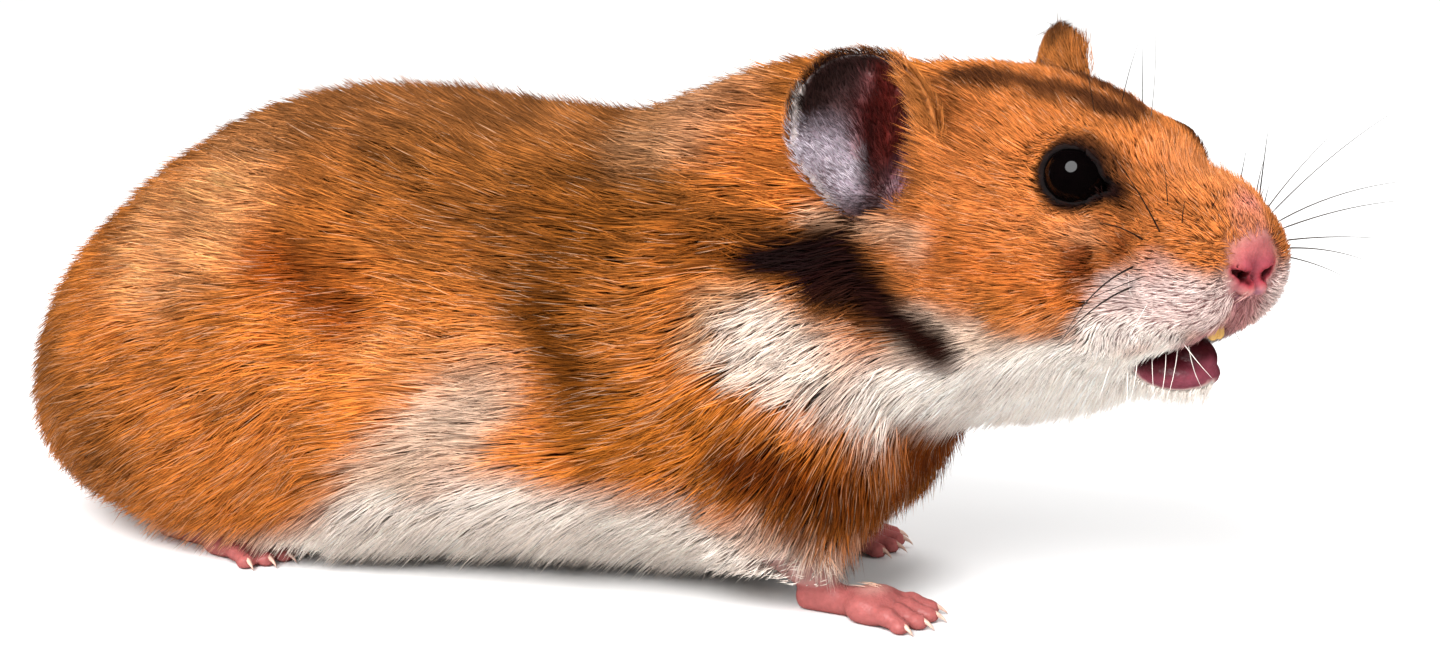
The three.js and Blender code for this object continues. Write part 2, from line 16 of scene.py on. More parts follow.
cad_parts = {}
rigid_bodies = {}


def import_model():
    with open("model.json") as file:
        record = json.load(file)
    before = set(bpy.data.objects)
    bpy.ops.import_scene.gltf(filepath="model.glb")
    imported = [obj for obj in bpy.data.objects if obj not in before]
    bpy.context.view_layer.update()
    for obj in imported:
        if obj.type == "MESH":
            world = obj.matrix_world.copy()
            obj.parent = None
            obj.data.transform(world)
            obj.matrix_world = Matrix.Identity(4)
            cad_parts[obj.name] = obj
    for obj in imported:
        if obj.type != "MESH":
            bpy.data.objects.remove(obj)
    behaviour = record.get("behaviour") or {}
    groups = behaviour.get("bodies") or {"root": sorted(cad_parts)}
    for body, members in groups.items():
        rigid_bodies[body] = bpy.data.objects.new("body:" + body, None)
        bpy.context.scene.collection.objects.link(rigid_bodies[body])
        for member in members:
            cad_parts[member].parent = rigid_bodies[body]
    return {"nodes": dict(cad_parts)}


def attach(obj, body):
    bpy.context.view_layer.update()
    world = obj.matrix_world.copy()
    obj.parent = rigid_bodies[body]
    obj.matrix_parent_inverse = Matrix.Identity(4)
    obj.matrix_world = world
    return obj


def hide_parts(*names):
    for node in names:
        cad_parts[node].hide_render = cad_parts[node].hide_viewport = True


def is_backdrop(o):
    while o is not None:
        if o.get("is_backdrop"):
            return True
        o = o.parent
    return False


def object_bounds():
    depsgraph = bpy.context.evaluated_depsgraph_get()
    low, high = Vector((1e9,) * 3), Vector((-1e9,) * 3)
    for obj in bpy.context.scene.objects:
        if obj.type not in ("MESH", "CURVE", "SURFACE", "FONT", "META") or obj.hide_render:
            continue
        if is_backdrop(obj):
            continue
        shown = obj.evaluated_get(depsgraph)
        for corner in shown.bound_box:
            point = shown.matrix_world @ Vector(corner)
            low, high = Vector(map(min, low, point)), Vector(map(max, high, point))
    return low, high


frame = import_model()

bpy.context.view_layer.update()
solid_box = [list(corner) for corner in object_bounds()]
print("solids:", len(frame["nodes"]), "nodes, box", solid_box)

# %% [markdown]
# ## Working in millimetres
# Shapes this small are easier to think about in millimetres, so the sums are done in them
# and a point becomes metres only when it goes into a mesh. The solids were moved forward a
# little to put the middle of the animal over the origin, and every mesh repeats that move.

# %% Millimetres to the shared frame
ORIGIN_SHIFT = np.array([13.1, 0.0, 0.0])


def in_metres(points):
    return (np.asarray(points, float) + ORIGIN_SHIFT) * 0.001


def unit(v):
    v = np.asarray(v, float)
    return v / np.maximum(np.linalg.norm(v, axis=-1, keepdims=True), 1e-9)


print("the drawing's zero lies at x =", in_metres([0, 0, 0])[0], "m")

# %% [markdown]
# ## Rounded forms
# A body is hard to model face by face, but easy to describe as egg shapes and tapered limbs
# that melt together. Each form here is a function that gives every point its distance to a
# surface, negative inside. Sculpting by hand or metaballs would also do; distances are
# chosen because the same sums later tell the hairs which way is out and how deep the coat is.

# %% Distance to an egg, a limb, and their blend
def ball(points, centre, half):
    away = points - np.asarray(centre, np.float32)
    half = np.asarray(half, np.float32)
    near = np.linalg.norm(away / half, axis=-1)
    slope = np.linalg.norm(away / half ** 2, axis=-1)
    return near * (near - 1) / np.maximum(slope, 1e-6)


def limb(points, start, end, start_radius, end_radius):
    start = np.asarray(start, np.float32)
    along = np.asarray(end, np.float32) - start
    share = np.clip((points - start) @ along / (along @ along), 0, 1)
    away = np.linalg.norm(points - start - share[..., None] * along, axis=-1)
    return away - (start_radius + (end_radius - start_radius) * share)


def soften(a, b, fillet):
    near = np.maximum(fillet - np.abs(a - b), 0) / fillet
    return np.minimum(a, b) - near * near * fillet / 4


def cut_away(a, b, fillet):
    return -soften(-a, b, fillet)


MELT_MARGIN = 3.5


def melt(distance, points, form, size, fillet):
    """Blend a form, larger by `size`, into the distances of the points that it can reach."""
    kind, first = form[0], np.asarray(form[1], np.float32)
    if kind == "ball":
        low, high = first - form[2], first + np.asarray(form[2])
    else:
        thick = max(form[3], form[4])
        low = np.minimum(first, form[2]) - thick
        high = np.maximum(first, form[2]) + thick
    reach = fillet + size + MELT_MARGIN
    near = np.all((points > low - reach) & (points < high + reach), axis=-1)
    if near.any():
        shape = ball if kind == "ball" else limb
        distance[near] = soften(distance[near], shape(points[near], *form[1:]) - size, fillet)
    return distance


print("4 mm from a ball 3 mm in radius:", ball(np.array([[4.0, 0, 0]]), (0, 0, 0), (3, 3, 3)), "mm")

# %% [markdown]
# ## The head's own frame
# The face is built looking straight ahead, where left and right are mirror images, and then
# turned 26 degrees to the animal's right. `to_head` takes a point of the world into that
# frame; folding its y with `abs` makes one cheek serve for both.

# %% The head's frame
HEAD_AT = np.array([50.1, -9.0, 52.0])
HEAD_YAW = math.radians(-26)
HEAD_PITCH = math.radians(-2)


def head_axes():
    forward = [math.cos(HEAD_YAW) * math.cos(HEAD_PITCH),
               math.sin(HEAD_YAW) * math.cos(HEAD_PITCH), math.sin(HEAD_PITCH)]
    left = [-math.sin(HEAD_YAW), math.cos(HEAD_YAW), 0.0]
    return np.array([forward, left, np.cross(forward, left)])


HEAD_AXES = head_axes()


def to_head(points):
    return ((points - HEAD_AT) @ HEAD_AXES.T).astype(np.float32)


def from_head(points):
    return np.asarray(points, float) @ HEAD_AXES + HEAD_AT


def folded(points):
    return points * [1, 0, 1] + np.abs(points) * [0, 1, 0]


print("nose direction:", HEAD_AXES[0].round(3))

# %% [markdown]
# ## The trunk, the head and the limbs, as named forms
# Each line is one form: a shape, the depth of the coat over it, and how softly it melts into
# the one before. The sizes are those of the solids, so flesh plus coat fills them exactly.

# %% Trunk forms
COAT_BODY = 4.5
COAT_BELLY = 5.0
COAT_LIMB = 2.2
COAT_FACE = 1.0
BELLY_CLEARANCE = 1.3
BELLY_COAT = 0.8  # how deep the coat pressed flat under the belly is

TRUNK = [
    (("ball", (-61.0, 0, 21.5), (24.6, 20.5, 17.8)), COAT_BODY, 9),  # rump
    (("ball", (-65, 0, 14.2), (20.8, 19.5, 8.8)), 4.4, 9),  # seat
    (("ball", (-50, 0, 28.5), (23.5, 19.5, 20.5)), COAT_BODY, 9),  # croup
    (("ball", (-30, 0, 31.0), (30, 19.5, 20.0)), COAT_BODY, 12),  # back
    (("ball", (-25, 0, 17.5), (38, 21.5, 13.0)), COAT_BELLY, 12),  # belly
    (("ball", (3, 0, 30.4), (25, 18.0, 20.4)), COAT_BODY, 12),  # ribs
    (("ball", (4, -1, 20.0), (12, 14.5, 12.5)), COAT_BODY, 8),  # breast
    (("ball", (16.5, -1, 44.0), (21, 10.5, 15.0)), 3.6, 8),  # neck
    (("ball", (32, -4.0, 32.0), (12, 9.5, 6.8)), 4.0, 8),  # throat
    (("ball", (-51, -14.5, 17), (19, 6.5, 12.5)), 4.0, 8),  # right haunch
    (("ball", (-51, 14.5, 17), (19, 6.5, 12.5)), 4.0, 8),  # left haunch
    (("ball", (12, -12.5, 22), (11, 6, 14)), 4.0, 8),  # right shoulder
    (("ball", (12, 12.5, 22), (11, 6, 14)), 4.0, 8),  # left shoulder
]
print("trunk:", len(TRUNK), "forms")

# %% Head forms
HEAD_MIDDLE = [
    (("ball", (-13, 0, -1.8), (16, 11.5, 9.5)), 2.0, 8),  # cranium
    (("ball", (-2.5, 0, -0.9), (8.5, 6.0, 5.8)), 1.2, 5),  # brow
    (("limb", (2, 0, -4.0), (12.8, 0, -5.2), 5.8, 4.6), COAT_FACE, 4),  # muzzle
    (("ball", (-7, 0, -16.5), (10, 8.5, 7.5)), 2.6, 7),  # jaw muscles
    (("limb", (-4, 0, -18.2), (11.2, 0, -19.1), 6.0, 2.0), 1.3, 3),  # chin
]
HEAD_PAIRS = [
    (("ball", (-8.5, 7.6, -11), (12, 6.6, 9.2)), 3.0, 6),  # cheek
    (("ball", (11.8, 4.7, -8.6), (5.7, 4.2, 5.0)), 0.9, 5.5),  # whisker pad
    (("limb", (13.6, 2.8, -11.6), (4.5, 5.6, -15.4), 2.5, 3.2), 0.9, 3.5),  # upper lip
    (("ball", (0.2, 5.0, -0.5), (4.6, 3.4, 4.2)), 0.9, 2.5),  # eye socket
]
print("head:", len(HEAD_MIDDLE), "forms in the middle and", len(HEAD_PAIRS), "pairs")

# %% Limb and foot forms
ARMS = [
    [(10, -12.5, 18), (10, -13, 10.5), (17, -13, 4.2)],
    [(1, 12.5, 17), (1, 12.5, 10), (5, 12.8, 4.2)],
]
FORE_FOOT = {"length": 14, "width": 7.0, "toes": 4}
HIND_FOOT = {"length": 19, "width": 7.5, "toes": 5}
FEET = [
    ((21, -13, 0), -6, FORE_FOOT),
    ((8, 13, 0), 6, FORE_FOOT),
    ((-61, -15.5, 0), -14, HIND_FOOT),
    ((-54, 18.5, 0), 12, HIND_FOOT),
]
TOE_RADIUS = 0.85
TOE_FAN = 20  # degrees from the middle toe to the outer one


def turned(yaw, x, y):
    angle = math.radians(yaw)
    return x * math.cos(angle) - y * math.sin(angle), x * math.sin(angle) + y * math.cos(angle)


def toe_points(at, yaw, foot, number):
    """Root, knuckle and tip of one toe, fanned across the front of the foot."""
    fan = (number / (foot["toes"] - 1) - 0.5) * 2
    toe = foot["length"] * (0.36 - 0.07 * fan * fan)
    root = turned(yaw, foot["length"] * 0.25 + 0.8, fan * foot["width"] * 0.38)
    points = []
    for along, height in [(0, 1.2), (toe / 2, 1.45), (toe, 0.8)]:
        dx, dy = turned(yaw + TOE_FAN * fan, along, 0)
        points.append((at[0] + root[0] + dx, at[1] + root[1] + dy, height))
    return points


def foot_forms(at, yaw, foot):
    """Heel and palm, the pad that carries the weight, and the toes with their knuckles."""
    def place(x, y, z):
        dx, dy = turned(yaw, x, y)
        return (at[0] + dx, at[1] + dy, z)
    length, width = foot["length"], foot["width"]
    heel, palm = place(-0.35 * length, 0, 1.4), place(0.25 * length, 0, 1.5)
    forms = [(("limb", heel, palm, 1.65, 1.9), 0.25, 1.5)]
    for side in (-0.3, 0.0, 0.3):
        forms.append((("ball", place(0.22 * length, side * width, 1.5), (2.4, 1.7, 1.75)), 0.2, 1.5))
    for number in range(foot["toes"]):
        root, knuckle, tip = toe_points(at, yaw, foot, number)
        forms.append((("limb", root, knuckle, 1.05, 0.95), 0.15, 1.0))
        forms.append((("limb", knuckle, tip, 0.9, TOE_RADIUS), 0.15, 0.8))
        forms.append((("ball", (tip[0], tip[1], 0.75), (1.05, 1.05, 0.8)), 0.1, 0.5))
    return forms


print("toes:", sum(foot["toes"] for _, _, foot in FEET))

# %% [markdown]
# ## Ears as thin dishes
# A hamster's ear is a thin, cupped sheet with a rolled rim, wide at the root. As a distance it
# is a curved plate cut off by an oval outline. It melts into the head with a wide fillet, which
# gives the funnel at its base, so the skin runs over head and ear without a seam.

# %% The ear's distance
EAR_LENGTH = 16.5
EAR_HALF_WIDTH = 8.2
EARS = [
    {"at": (-19.6, -15.2, -5.2), "tip": (-0.26, -0.24, 0.93), "face": (0.59, -0.80, 0.12), "rear": 1},
    {"at": (-19.8, 12.1, -5.0), "tip": (-0.23, 0.24, 0.94), "face": (0.66, 0.72, -0.2), "rear": -1},
]
EAR_RIDGES = [((-0.25, 0.62), (0.22, -0.15), 0.7), ((-0.50, 0.38), (-0.12, -0.35), 0.8)]


def ear_frame(ear):
    up = unit(ear["tip"])
    face = np.asarray(ear["face"], float)
    out = unit(face - up * (face @ up))
    return np.array([up, np.cross(out, up), out])


def ear_places(points, ear):
    """Ring (0 in the middle, 1 at the rim), rearward and tall from -1 to 1, and local axes."""
    local = (points - np.asarray(ear["at"])) @ ear_frame(ear).T
    up, side = local[..., 0], local[..., 1]
    broad = EAR_HALF_WIDTH * (0.86 + 0.26 * np.clip(up / EAR_LENGTH, -0.3, 1))
    tall = (up - EAR_LENGTH * 0.45) / (EAR_LENGTH * 0.58)
    rear = side / broad * ear["rear"]
    return np.sqrt(tall ** 2 + rear ** 2), rear, tall, local


def ear_height(points, ear):
    """How far in front of the dish's middle sheet a point lies, with ridges and canal."""
    ring, rear, tall, local = ear_places(points, ear)
    side = local[..., 1] * np.minimum(1, 1.3 / np.maximum(ring, 1e-3))
    dish = 3.6 * (side / EAR_HALF_WIDTH) ** 2 + 1.2 * np.clip(tall, -1.2, 1.2) ** 2 - 2.0
    dish = dish + 9.0 * np.clip(ring - 0.8, 0, 0.3) ** 2
    for start, end, lift in EAR_RIDGES:
        along = np.subtract(end, start)
        share = np.clip(((rear - start[0]) * along[0] + (tall - start[1]) * along[1])
                        / (along @ along), 0, 1)
        away = np.hypot(rear - start[0] - share * along[0], tall - start[1] - share * along[1])
        dish = dish + lift * np.exp(-(away / 0.11) ** 2)
    dish = dish - 1.6 * np.exp(-((rear + 0.30) ** 2 + (tall + 0.42) ** 2) / 0.05)
    return ring, rear, tall, local[..., 2] - dish, local[..., 1]


def ear_distance(points, ear):
    ring, _, _, height, side = ear_height(points, ear)
    steep = np.sqrt(1 + (7.2 * side / EAR_HALF_WIDTH ** 2) ** 2)
    thick = 1.35 - 0.35 * np.minimum(ring, 1) ** 2
    plate = np.abs(height) / steep - thick / 2
    edge = (ring - 1) * EAR_HALF_WIDTH * 0.95
    return cut_away(plate, -edge, 0.7)


print("ear frame, up then back then out:", ear_frame(EARS[0]).round(2).tolist())

# %% [markdown]
# ## Eyes, lids, nose and mouth
# The face is where a model is believed or not, so its skin gets real folds. Each lid is a
# shell a little larger than the eyeball, cut open by a slanted oval with a drawn-out front
# corner. The nostrils are commas pressed into two small lobes, with a groove down to the lip.
# The mouth is a sloping slot, with the tongue and the lower lip behind the upper lip's fringe.

# %% Sizes of the face
EYE_AT = np.array([0.2, 7.45, 0.0])
EYE_RADIUS = 3.75
EYE_AXIS = unit([0.34, 0.92, 0.16])
EYE_OPENING = (3.05, 2.75)
LID_THICKNESS = 0.38
NOSE_AT = (15.0, 0, -4.9)
MOUTH_AT = np.array([11.3, 0, -17.1])
MOUTH_SLOPE = math.radians(28)
LOWER_LIP = ("ball", (8.7, 0, -20.3), (5.2, 4.2, 2.2))
TONGUE = ("ball", (9.3, 0.4, -18.7), (4.3, 2.6, 2.6))


def eye_frame():
    up = unit(np.array([0, 0, 1.0]) - EYE_AXIS * EYE_AXIS[2])
    return np.array([np.cross(up, EYE_AXIS) * -1, up, EYE_AXIS])


def lid_opening(head):
    """Distance to the oval opening between the lids, for points with y folded."""
    local = (head - EYE_AT) @ eye_frame().T
    front, up, out = local[..., 0] - 0.15, local[..., 1] + 0.05 * local[..., 0], local[..., 2]
    near = np.sqrt((front / EYE_OPENING[0]) ** 2 + (up / EYE_OPENING[1]) ** 2)
    oval = (near - 1) * EYE_OPENING[1]
    share = np.clip((front - 2.0) / 2.1, 0, 1)
    corner = np.hypot(front - 2.0 - share * 2.1, up + 0.35 + 0.35 * share) - (1.0 - 0.75 * share)
    return np.maximum(soften(oval, corner, 0.8), -out)


print("eye frame front:", eye_frame()[0].round(2))


# %% Nose, lips and mouth
def nostril_gap(pair):
    comma = limb(pair, (18.9, 1.45, -8.6), (17.8, 3.2, -7.5), 0.58, 0.30)
    return np.minimum(comma, limb(pair, (18.5, 1.8, -8.4), (15.6, 1.5, -8.2), 0.5, 0.4))


def mouth_place(head):
    """Points of the head measured from the middle of the sloping mouth."""
    slot = head - MOUTH_AT
    fall = slot[..., 2] + np.abs(slot[..., 1]) * math.tan(MOUTH_SLOPE)
    return np.stack([slot[..., 0], slot[..., 1], fall], -1)


def openings_of_face(h, pair, d):
    """Raise the lips and the nose, press the openings into them, and open the lids."""
    d = melt(d, pair, ("limb", (12.2, 2.2, -13.0), (6.0, 5.2, -16.2), 1.5, 1.9), 0, 1.2)
    d = melt(d, h, ("ball", NOSE_AT, (3.7, 3.5, 3.5)), 0, 1.6)
    d = melt(d, pair, ("ball", (17.1, 1.85, -7.6), (1.9, 1.6, 1.8)), 0, 1.0)
    d = melt(d, pair, ("ball", (18.1, 0.95, -9.7), (1.1, 1.0, 1.0)), 0, 0.6)
    d = cut_away(d, nostril_gap(pair), 0.4)
    groove = limb(h, (19.3, 0, -8.0), (19.1, 0, -10.2), 0.10, 0.16)
    groove = np.minimum(groove, limb(h, (18.1, 0, -10.6), (15.8, 0, -13.6), 0.35, 0.6))
    d = cut_away(d, groove, 0.7)
    d = cut_away(d, ball(mouth_place(h), (0.4, 0, -0.5), (7.4, 6.0, 2.6)), 0.7)
    d = soften(d, ball(h, *LOWER_LIP[1:]), 0.7)
    d = soften(d, ball(h, *TONGUE[1:]), 0.4)
    return cut_away(d, lid_opening(pair), 0.35)


print("mouth slopes", round(math.degrees(MOUTH_SLOPE)), "degrees to each side")


# %% The flesh of the face
NOWHERE = 60.0  # a distance farther than any form reaches


def face(points, distance, coat):
    """Melt the head into the distances, and press its openings into it."""
    head = to_head(points)
    near = np.all((head > [-38, -28, -34]) & (head < [24, 28, 24]), axis=-1)
    h = head[near]
    d = distance[near]
    pair = folded(h).astype(np.float32)
    for form, depth, fillet in HEAD_MIDDLE:
        d = melt(d, h, form, depth * coat, fillet)
    for form, depth, fillet in HEAD_PAIRS:
        d = melt(d, pair, form, depth * coat, fillet)
    lid = ball(pair, EYE_AT, (EYE_RADIUS + LID_THICKNESS,) * 3)
    d = soften(d, lid, 1.6)
    if not coat:
        d = openings_of_face(h, pair, d)
    for ear in EARS:
        d = soften(d, ear_distance(h, ear) - 0.15 * coat, 3.2)
    distance[near] = d
    return distance


nowhere = np.full(1, NOWHERE, np.float32)
print("from the head's middle to its skin:", face(HEAD_AT[None], nowhere, 0).round(1), "mm")

# %% The whole animal
SHOULDER_RADIUS = 6.3
ELBOW_RADIUS = 3.8
WRIST_RADIUS = 2.4
TAIL = [(-82, 0, 16), (-93.2, 0, 12), 2.4, 1.5]


def arm(points, distance, shoulder, elbow, wrist, coat):
    upper = ("limb", shoulder, elbow, SHOULDER_RADIUS, ELBOW_RADIUS)
    lower = ("limb", elbow, wrist, ELBOW_RADIUS, WRIST_RADIUS)
    distance = melt(distance, points, upper, COAT_LIMB * coat, 4)
    return melt(distance, points, lower, 0.7 * coat, 2)


def animal(points, coat=0.0):
    """Distance to the skin (coat 0) or to the tips of the coat (coat 1)."""
    points = np.asarray(points, np.float32)
    distance = np.full(points.shape[:-1], NOWHERE, np.float32)
    for form, depth, fillet in TRUNK:
        distance = melt(distance, points, form, depth * coat, fillet)
    for joints in ARMS:
        distance = arm(points, distance, *joints, coat)
    distance = face(points, distance, coat)
    distance = melt(distance, points, ("limb", *TAIL), 0, 2)
    distance = cut_away(distance, points[..., 2] - BELLY_CLEARANCE - BELLY_COAT * (1 - coat), 2)
    feet = np.full_like(distance, NOWHERE)
    for at, yaw, foot in FEET:
        for form, depth, fillet in foot_forms(at, yaw, foot):
            feet = melt(feet, points, form, depth * coat * 0.3, fillet)
    distance = soften(distance, feet, 1.5)
    return cut_away(distance, points[..., 2], 0.3)


def slope_of(points, step=0.15):
    """The way out of the skin, from how the distance to it grows."""
    slope = np.empty(points.shape, np.float32)
    for axis in range(3):
        move = np.zeros(3)
        move[axis] = step
        slope[:, axis] = (animal(points + move) - animal(points - move)) / (2 * step)
    return slope


print("on the back:", animal(np.array([[-20.0, 0, 52], [-20, 0, 60]])).round(2))

# %% [markdown]
# ## From distances to a skin
# A grid of points covers the animal, close together at the face, ears and feet and wide over
# the flanks. Wherever the distance changes sign, the surface passes: each such cell gets one
# point and each such edge one face, which leaves even quads. Marching cubes or a voxel
# remesh would do too, but spend as many faces on the belly as on the lips.

# %% Grid lines
BLOCK = 4  # fine cells along each side of a coarse one


def lines(*bands):
    """Places of the grid along one axis; each band is (from, to, cell)."""
    out = []
    for low, high, cell in bands:
        count = max(int(round((high - low) / cell)), 1)
        out.extend(low + (high - low) * np.arange(count) / count)
    out.append(bands[-1][1])
    while (len(out) - 1) % BLOCK:
        out.append(out[-1] * 2 - out[-2])
    return np.array(out)


GRID = [
    lines((-96, -72, 1.4), (-72, -42, 0.68), (-42, 0, 1.5), (0, 27, 0.66), (27, 59, 0.47),
          (59, 71, 0.36)),
    lines((-31, -24, 0.6), (-24, -9, 0.43), (-9, 31, 0.66)),
    lines((-0.9, 6, 0.44), (6, 26, 0.95), (26, 38, 0.5), (38, 52, 0.4), (52, 69, 0.54)),
]
print("grid:", [len(axis) for axis in GRID])


# %% Distances on the grid, coarse first
FAR = 9.0
BATCH = 400000


def grid_values():
    """Work out the animal on a few of the lines, and on all of them only near its surface."""
    size = [len(axis) for axis in GRID]
    coarse = [axis[::BLOCK] for axis in GRID]
    mesh = np.stack(np.meshgrid(*coarse, indexing="ij"), -1)
    rough = animal(mesh.reshape(-1, 3)).reshape(mesh.shape[:3])
    widths = [np.diff(axis) for axis in coarse]
    block = np.sqrt(sum(w.reshape([-1 if n == m else 1 for m in range(3)]) ** 2
                        for n, w in enumerate(widths)))
    near = np.zeros(block.shape, bool)
    for i, j, k in np.ndindex(2, 2, 2):
        corner = rough[i:i + near.shape[0], j:j + near.shape[1], k:k + near.shape[2]]
        near |= np.abs(corner) < block * 1.05
    values = np.ones(size, np.float32) * FAR
    sign = np.sign(rough[:-1, :-1, :-1]).astype(np.float32) * FAR
    for axis in range(3):
        sign = np.repeat(sign, BLOCK, axis)
    values[:-1, :-1, :-1] = sign
    blocks = near
    for axis in range(3):
        blocks = np.repeat(blocks, BLOCK, axis)
    wanted = np.zeros(size, bool)
    for i, j, k in np.ndindex(2, 2, 2):
        wanted[i:size[0] - 1 + i, j:size[1] - 1 + j, k:size[2] - 1 + k] |= blocks
    index = np.argwhere(wanted)
    points = np.stack([GRID[n][index[:, n]] for n in range(3)], -1)
    for start in range(0, len(points), BATCH):
        part = index[start:start + BATCH]
        values[part[:, 0], part[:, 1], part[:, 2]] = animal(points[start:start + BATCH])
    return values


skin_values = grid_values()
print("places inside the skin:", int((skin_values < 0).sum()))


# %% Points in cells, faces across edges
def surface_net(values):
    """One point in each cell that the surface crosses, and one quad round each crossed edge."""
    inside = values < 0
    cells = [n - 1 for n in values.shape]
    corners = list(np.ndindex(2, 2, 2))

    def shifted(array, corner):
        return array[tuple(slice(c, c + n) for c, n in zip(corner, cells))]

    count = sum(shifted(inside, corner).astype(np.int8) for corner in corners)
    index = np.argwhere((count > 0) & (count < 8))
    number = np.full(cells, -1)
    number[tuple(index.T)] = np.arange(len(index))
    low = np.stack([GRID[n][index[:, n]] for n in range(3)], -1)
    width = np.stack([GRID[n][index[:, n] + 1] for n in range(3)], -1) - low
    total = np.zeros((len(index), 3))
    hits = np.zeros(len(index))
    for corner in corners:
        here = values[tuple((index + corner).T)]
        for axis in range(3):
            if corner[axis]:
                continue
            other = np.array(corner)
            other[axis] = 1
            there = values[tuple((index + other).T)]
            crossed = (here < 0) != (there < 0)
            at = np.tile(np.array(corner, float), (len(index), 1))
            at[:, axis] = np.where(crossed, here / np.where(crossed, here - there, 1), 0)
            total += at * crossed[:, None]
            hits += crossed
    points = low + total / hits[:, None] * width
    return points, net_faces(inside, number)


def net_faces(inside, number):
    faces = []
    for axis in range(3):
        sides = [n for n in range(3) if n != axis]
        before = np.delete(inside, -1, axis)
        after = np.delete(inside, 0, axis)
        index = np.argwhere(before != after)
        for n in sides:
            index = index[(index[:, n] > 0) & (index[:, n] < inside.shape[n] - 1)]
        u, w = np.eye(3, dtype=int)[sides]
        ring = [number[tuple((index - step).T)] for step in (u + w, w, 0 * u, u)]
        quads = np.stack(ring, 1)
        outward = inside[tuple(index.T)] if axis != 1 else ~inside[tuple(index.T)]
        quads[~outward] = quads[~outward][:, ::-1]
        faces.append(quads)
    return np.concatenate(faces)


net_points, skin_faces = surface_net(skin_values)
print("net:", len(net_points), "points,", len(skin_faces), "quads")


# %% Slide the points onto the skin
def slide_onto(points, rounds=2):
    """Move points along the slope until they lie on the skin."""
    for _ in range(rounds):
        d = animal(points)
        slope = slope_of(points)
        steep = np.maximum((slope ** 2).sum(1), 0.5)
        points = points - (np.clip(d, -0.3, 0.3) / steep)[:, None] * slope
    return points


skin_points = slide_onto(net_points)
moved = np.linalg.norm(skin_points - net_points, axis=1)
print("points moved by", moved.mean().round(3), "mm on average, at most", moved.max().round(2))

# %% [markdown]
# ## Meshes with colours and a bake map
# Hundreds of thousands of faces are too many to add one at a time, so arrays are handed to
# the mesh in one go. Every mesh here may carry a colour at each point, which the materials
# read, and a UV map called OFBake, on which those colours can lie flat as images.

# %% Build a mesh from arrays
def make_mesh(name, points, faces, material, colours=None, uv=None):
    faces = np.asarray(faces)
    sides = faces.shape[1]
    mesh = bpy.data.meshes.new(name)
    mesh.vertices.add(len(points))
    mesh.vertices.foreach_set("co", in_metres(points).astype(np.float32).ravel())
    mesh.loops.add(faces.size)
    mesh.loops.foreach_set("vertex_index", faces.astype(np.int32).ravel())
    mesh.polygons.add(len(faces))
    mesh.polygons.foreach_set("loop_start", np.arange(len(faces), dtype=np.int32) * sides)
    mesh.polygons.foreach_set("use_smooth", np.ones(len(faces), bool))
    mesh.update(calc_edges=True)
    if uv is not None:
        layer = mesh.uv_layers.new(name="OFBake")
        layer.data.foreach_set("uv", np.asarray(uv, np.float32).ravel())
    if colours is not None:
        for key, value in colours.items():
            value = np.asarray(value, np.float32)
            layer = mesh.color_attributes.new(name=key, type="FLOAT_COLOR", domain="POINT")
            full = np.concatenate([value, np.ones((len(value), 1), np.float32)], 1)
            layer.data.foreach_set("color", full.ravel())
    mesh.materials.append(material)
    piece = bpy.data.objects.new(name, mesh)
    bpy.context.scene.collection.objects.link(piece)
    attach(piece, "root")
    return piece


print("meshes so far:", len(bpy.data.meshes))

# %% [markdown]
# ## Markings
# A golden hamster is orange above and cream below, with a black flash behind the cheek, a
# white crescent under it, dark ticking on the back and a dark ring round the eye. Painting a
# texture by hand is one way. Here each marking is a named soft patch at a place on the body,
# so skin and hair can ask for the colour at any point and always agree.

# %% Paint, soft noise and soft edges
SEED = 20
LATTICE_SIDE = 32
chance = np.random.default_rng(SEED)
LATTICE = chance.random((LATTICE_SIDE,) * 3).astype(np.float32) * 2 - 1


def linear(code):
    """A paint colour like #e08a4c as the linear light that a shader mixes."""
    part = np.array([int(code[n:n + 2], 16) / 255 for n in (1, 3, 5)])
    return np.where(part <= 0.04045, part / 12.92, ((part + 0.055) / 1.055) ** 2.4)


def cloud(points, size, shift=0.0):
    """Smooth noise from -1 to 1 whose blotches are about `size` across."""
    q = np.asarray(points, np.float32) / size + shift
    low = np.floor(q).astype(int)
    f = q - low
    f = f * f * (3 - 2 * f)
    total = 0
    for corner in np.ndindex(2, 2, 2):
        weight = np.prod(np.where(corner, f, 1 - f), axis=-1)
        i, j, k = ((low + corner) % LATTICE_SIDE).T
        total = total + weight * LATTICE[i, j, k]
    return total


def ramp(value, low, high):
    """0 below `low`, 1 above `high`, and an even curve between."""
    t = np.clip((value - low) / (high - low), 0, 1)
    return t * t * (3 - 2 * t)


def near_path(places, path, radius, blur):
    """1 close to a path of straight lengths, falling to 0 over `blur`."""
    away = np.full(len(places), 1e3)
    for start, end in zip(path[:-1], path[1:]):
        along = np.subtract(end, start)
        share = np.clip((places - start) @ along / (along @ along), 0, 1)
        away = np.minimum(away, np.linalg.norm(places - start - share[:, None] * along, axis=1))
    return 1 - ramp(away, radius - blur / 2, radius + blur / 2)


print("orange as light:", linear("#e0853a").round(3))


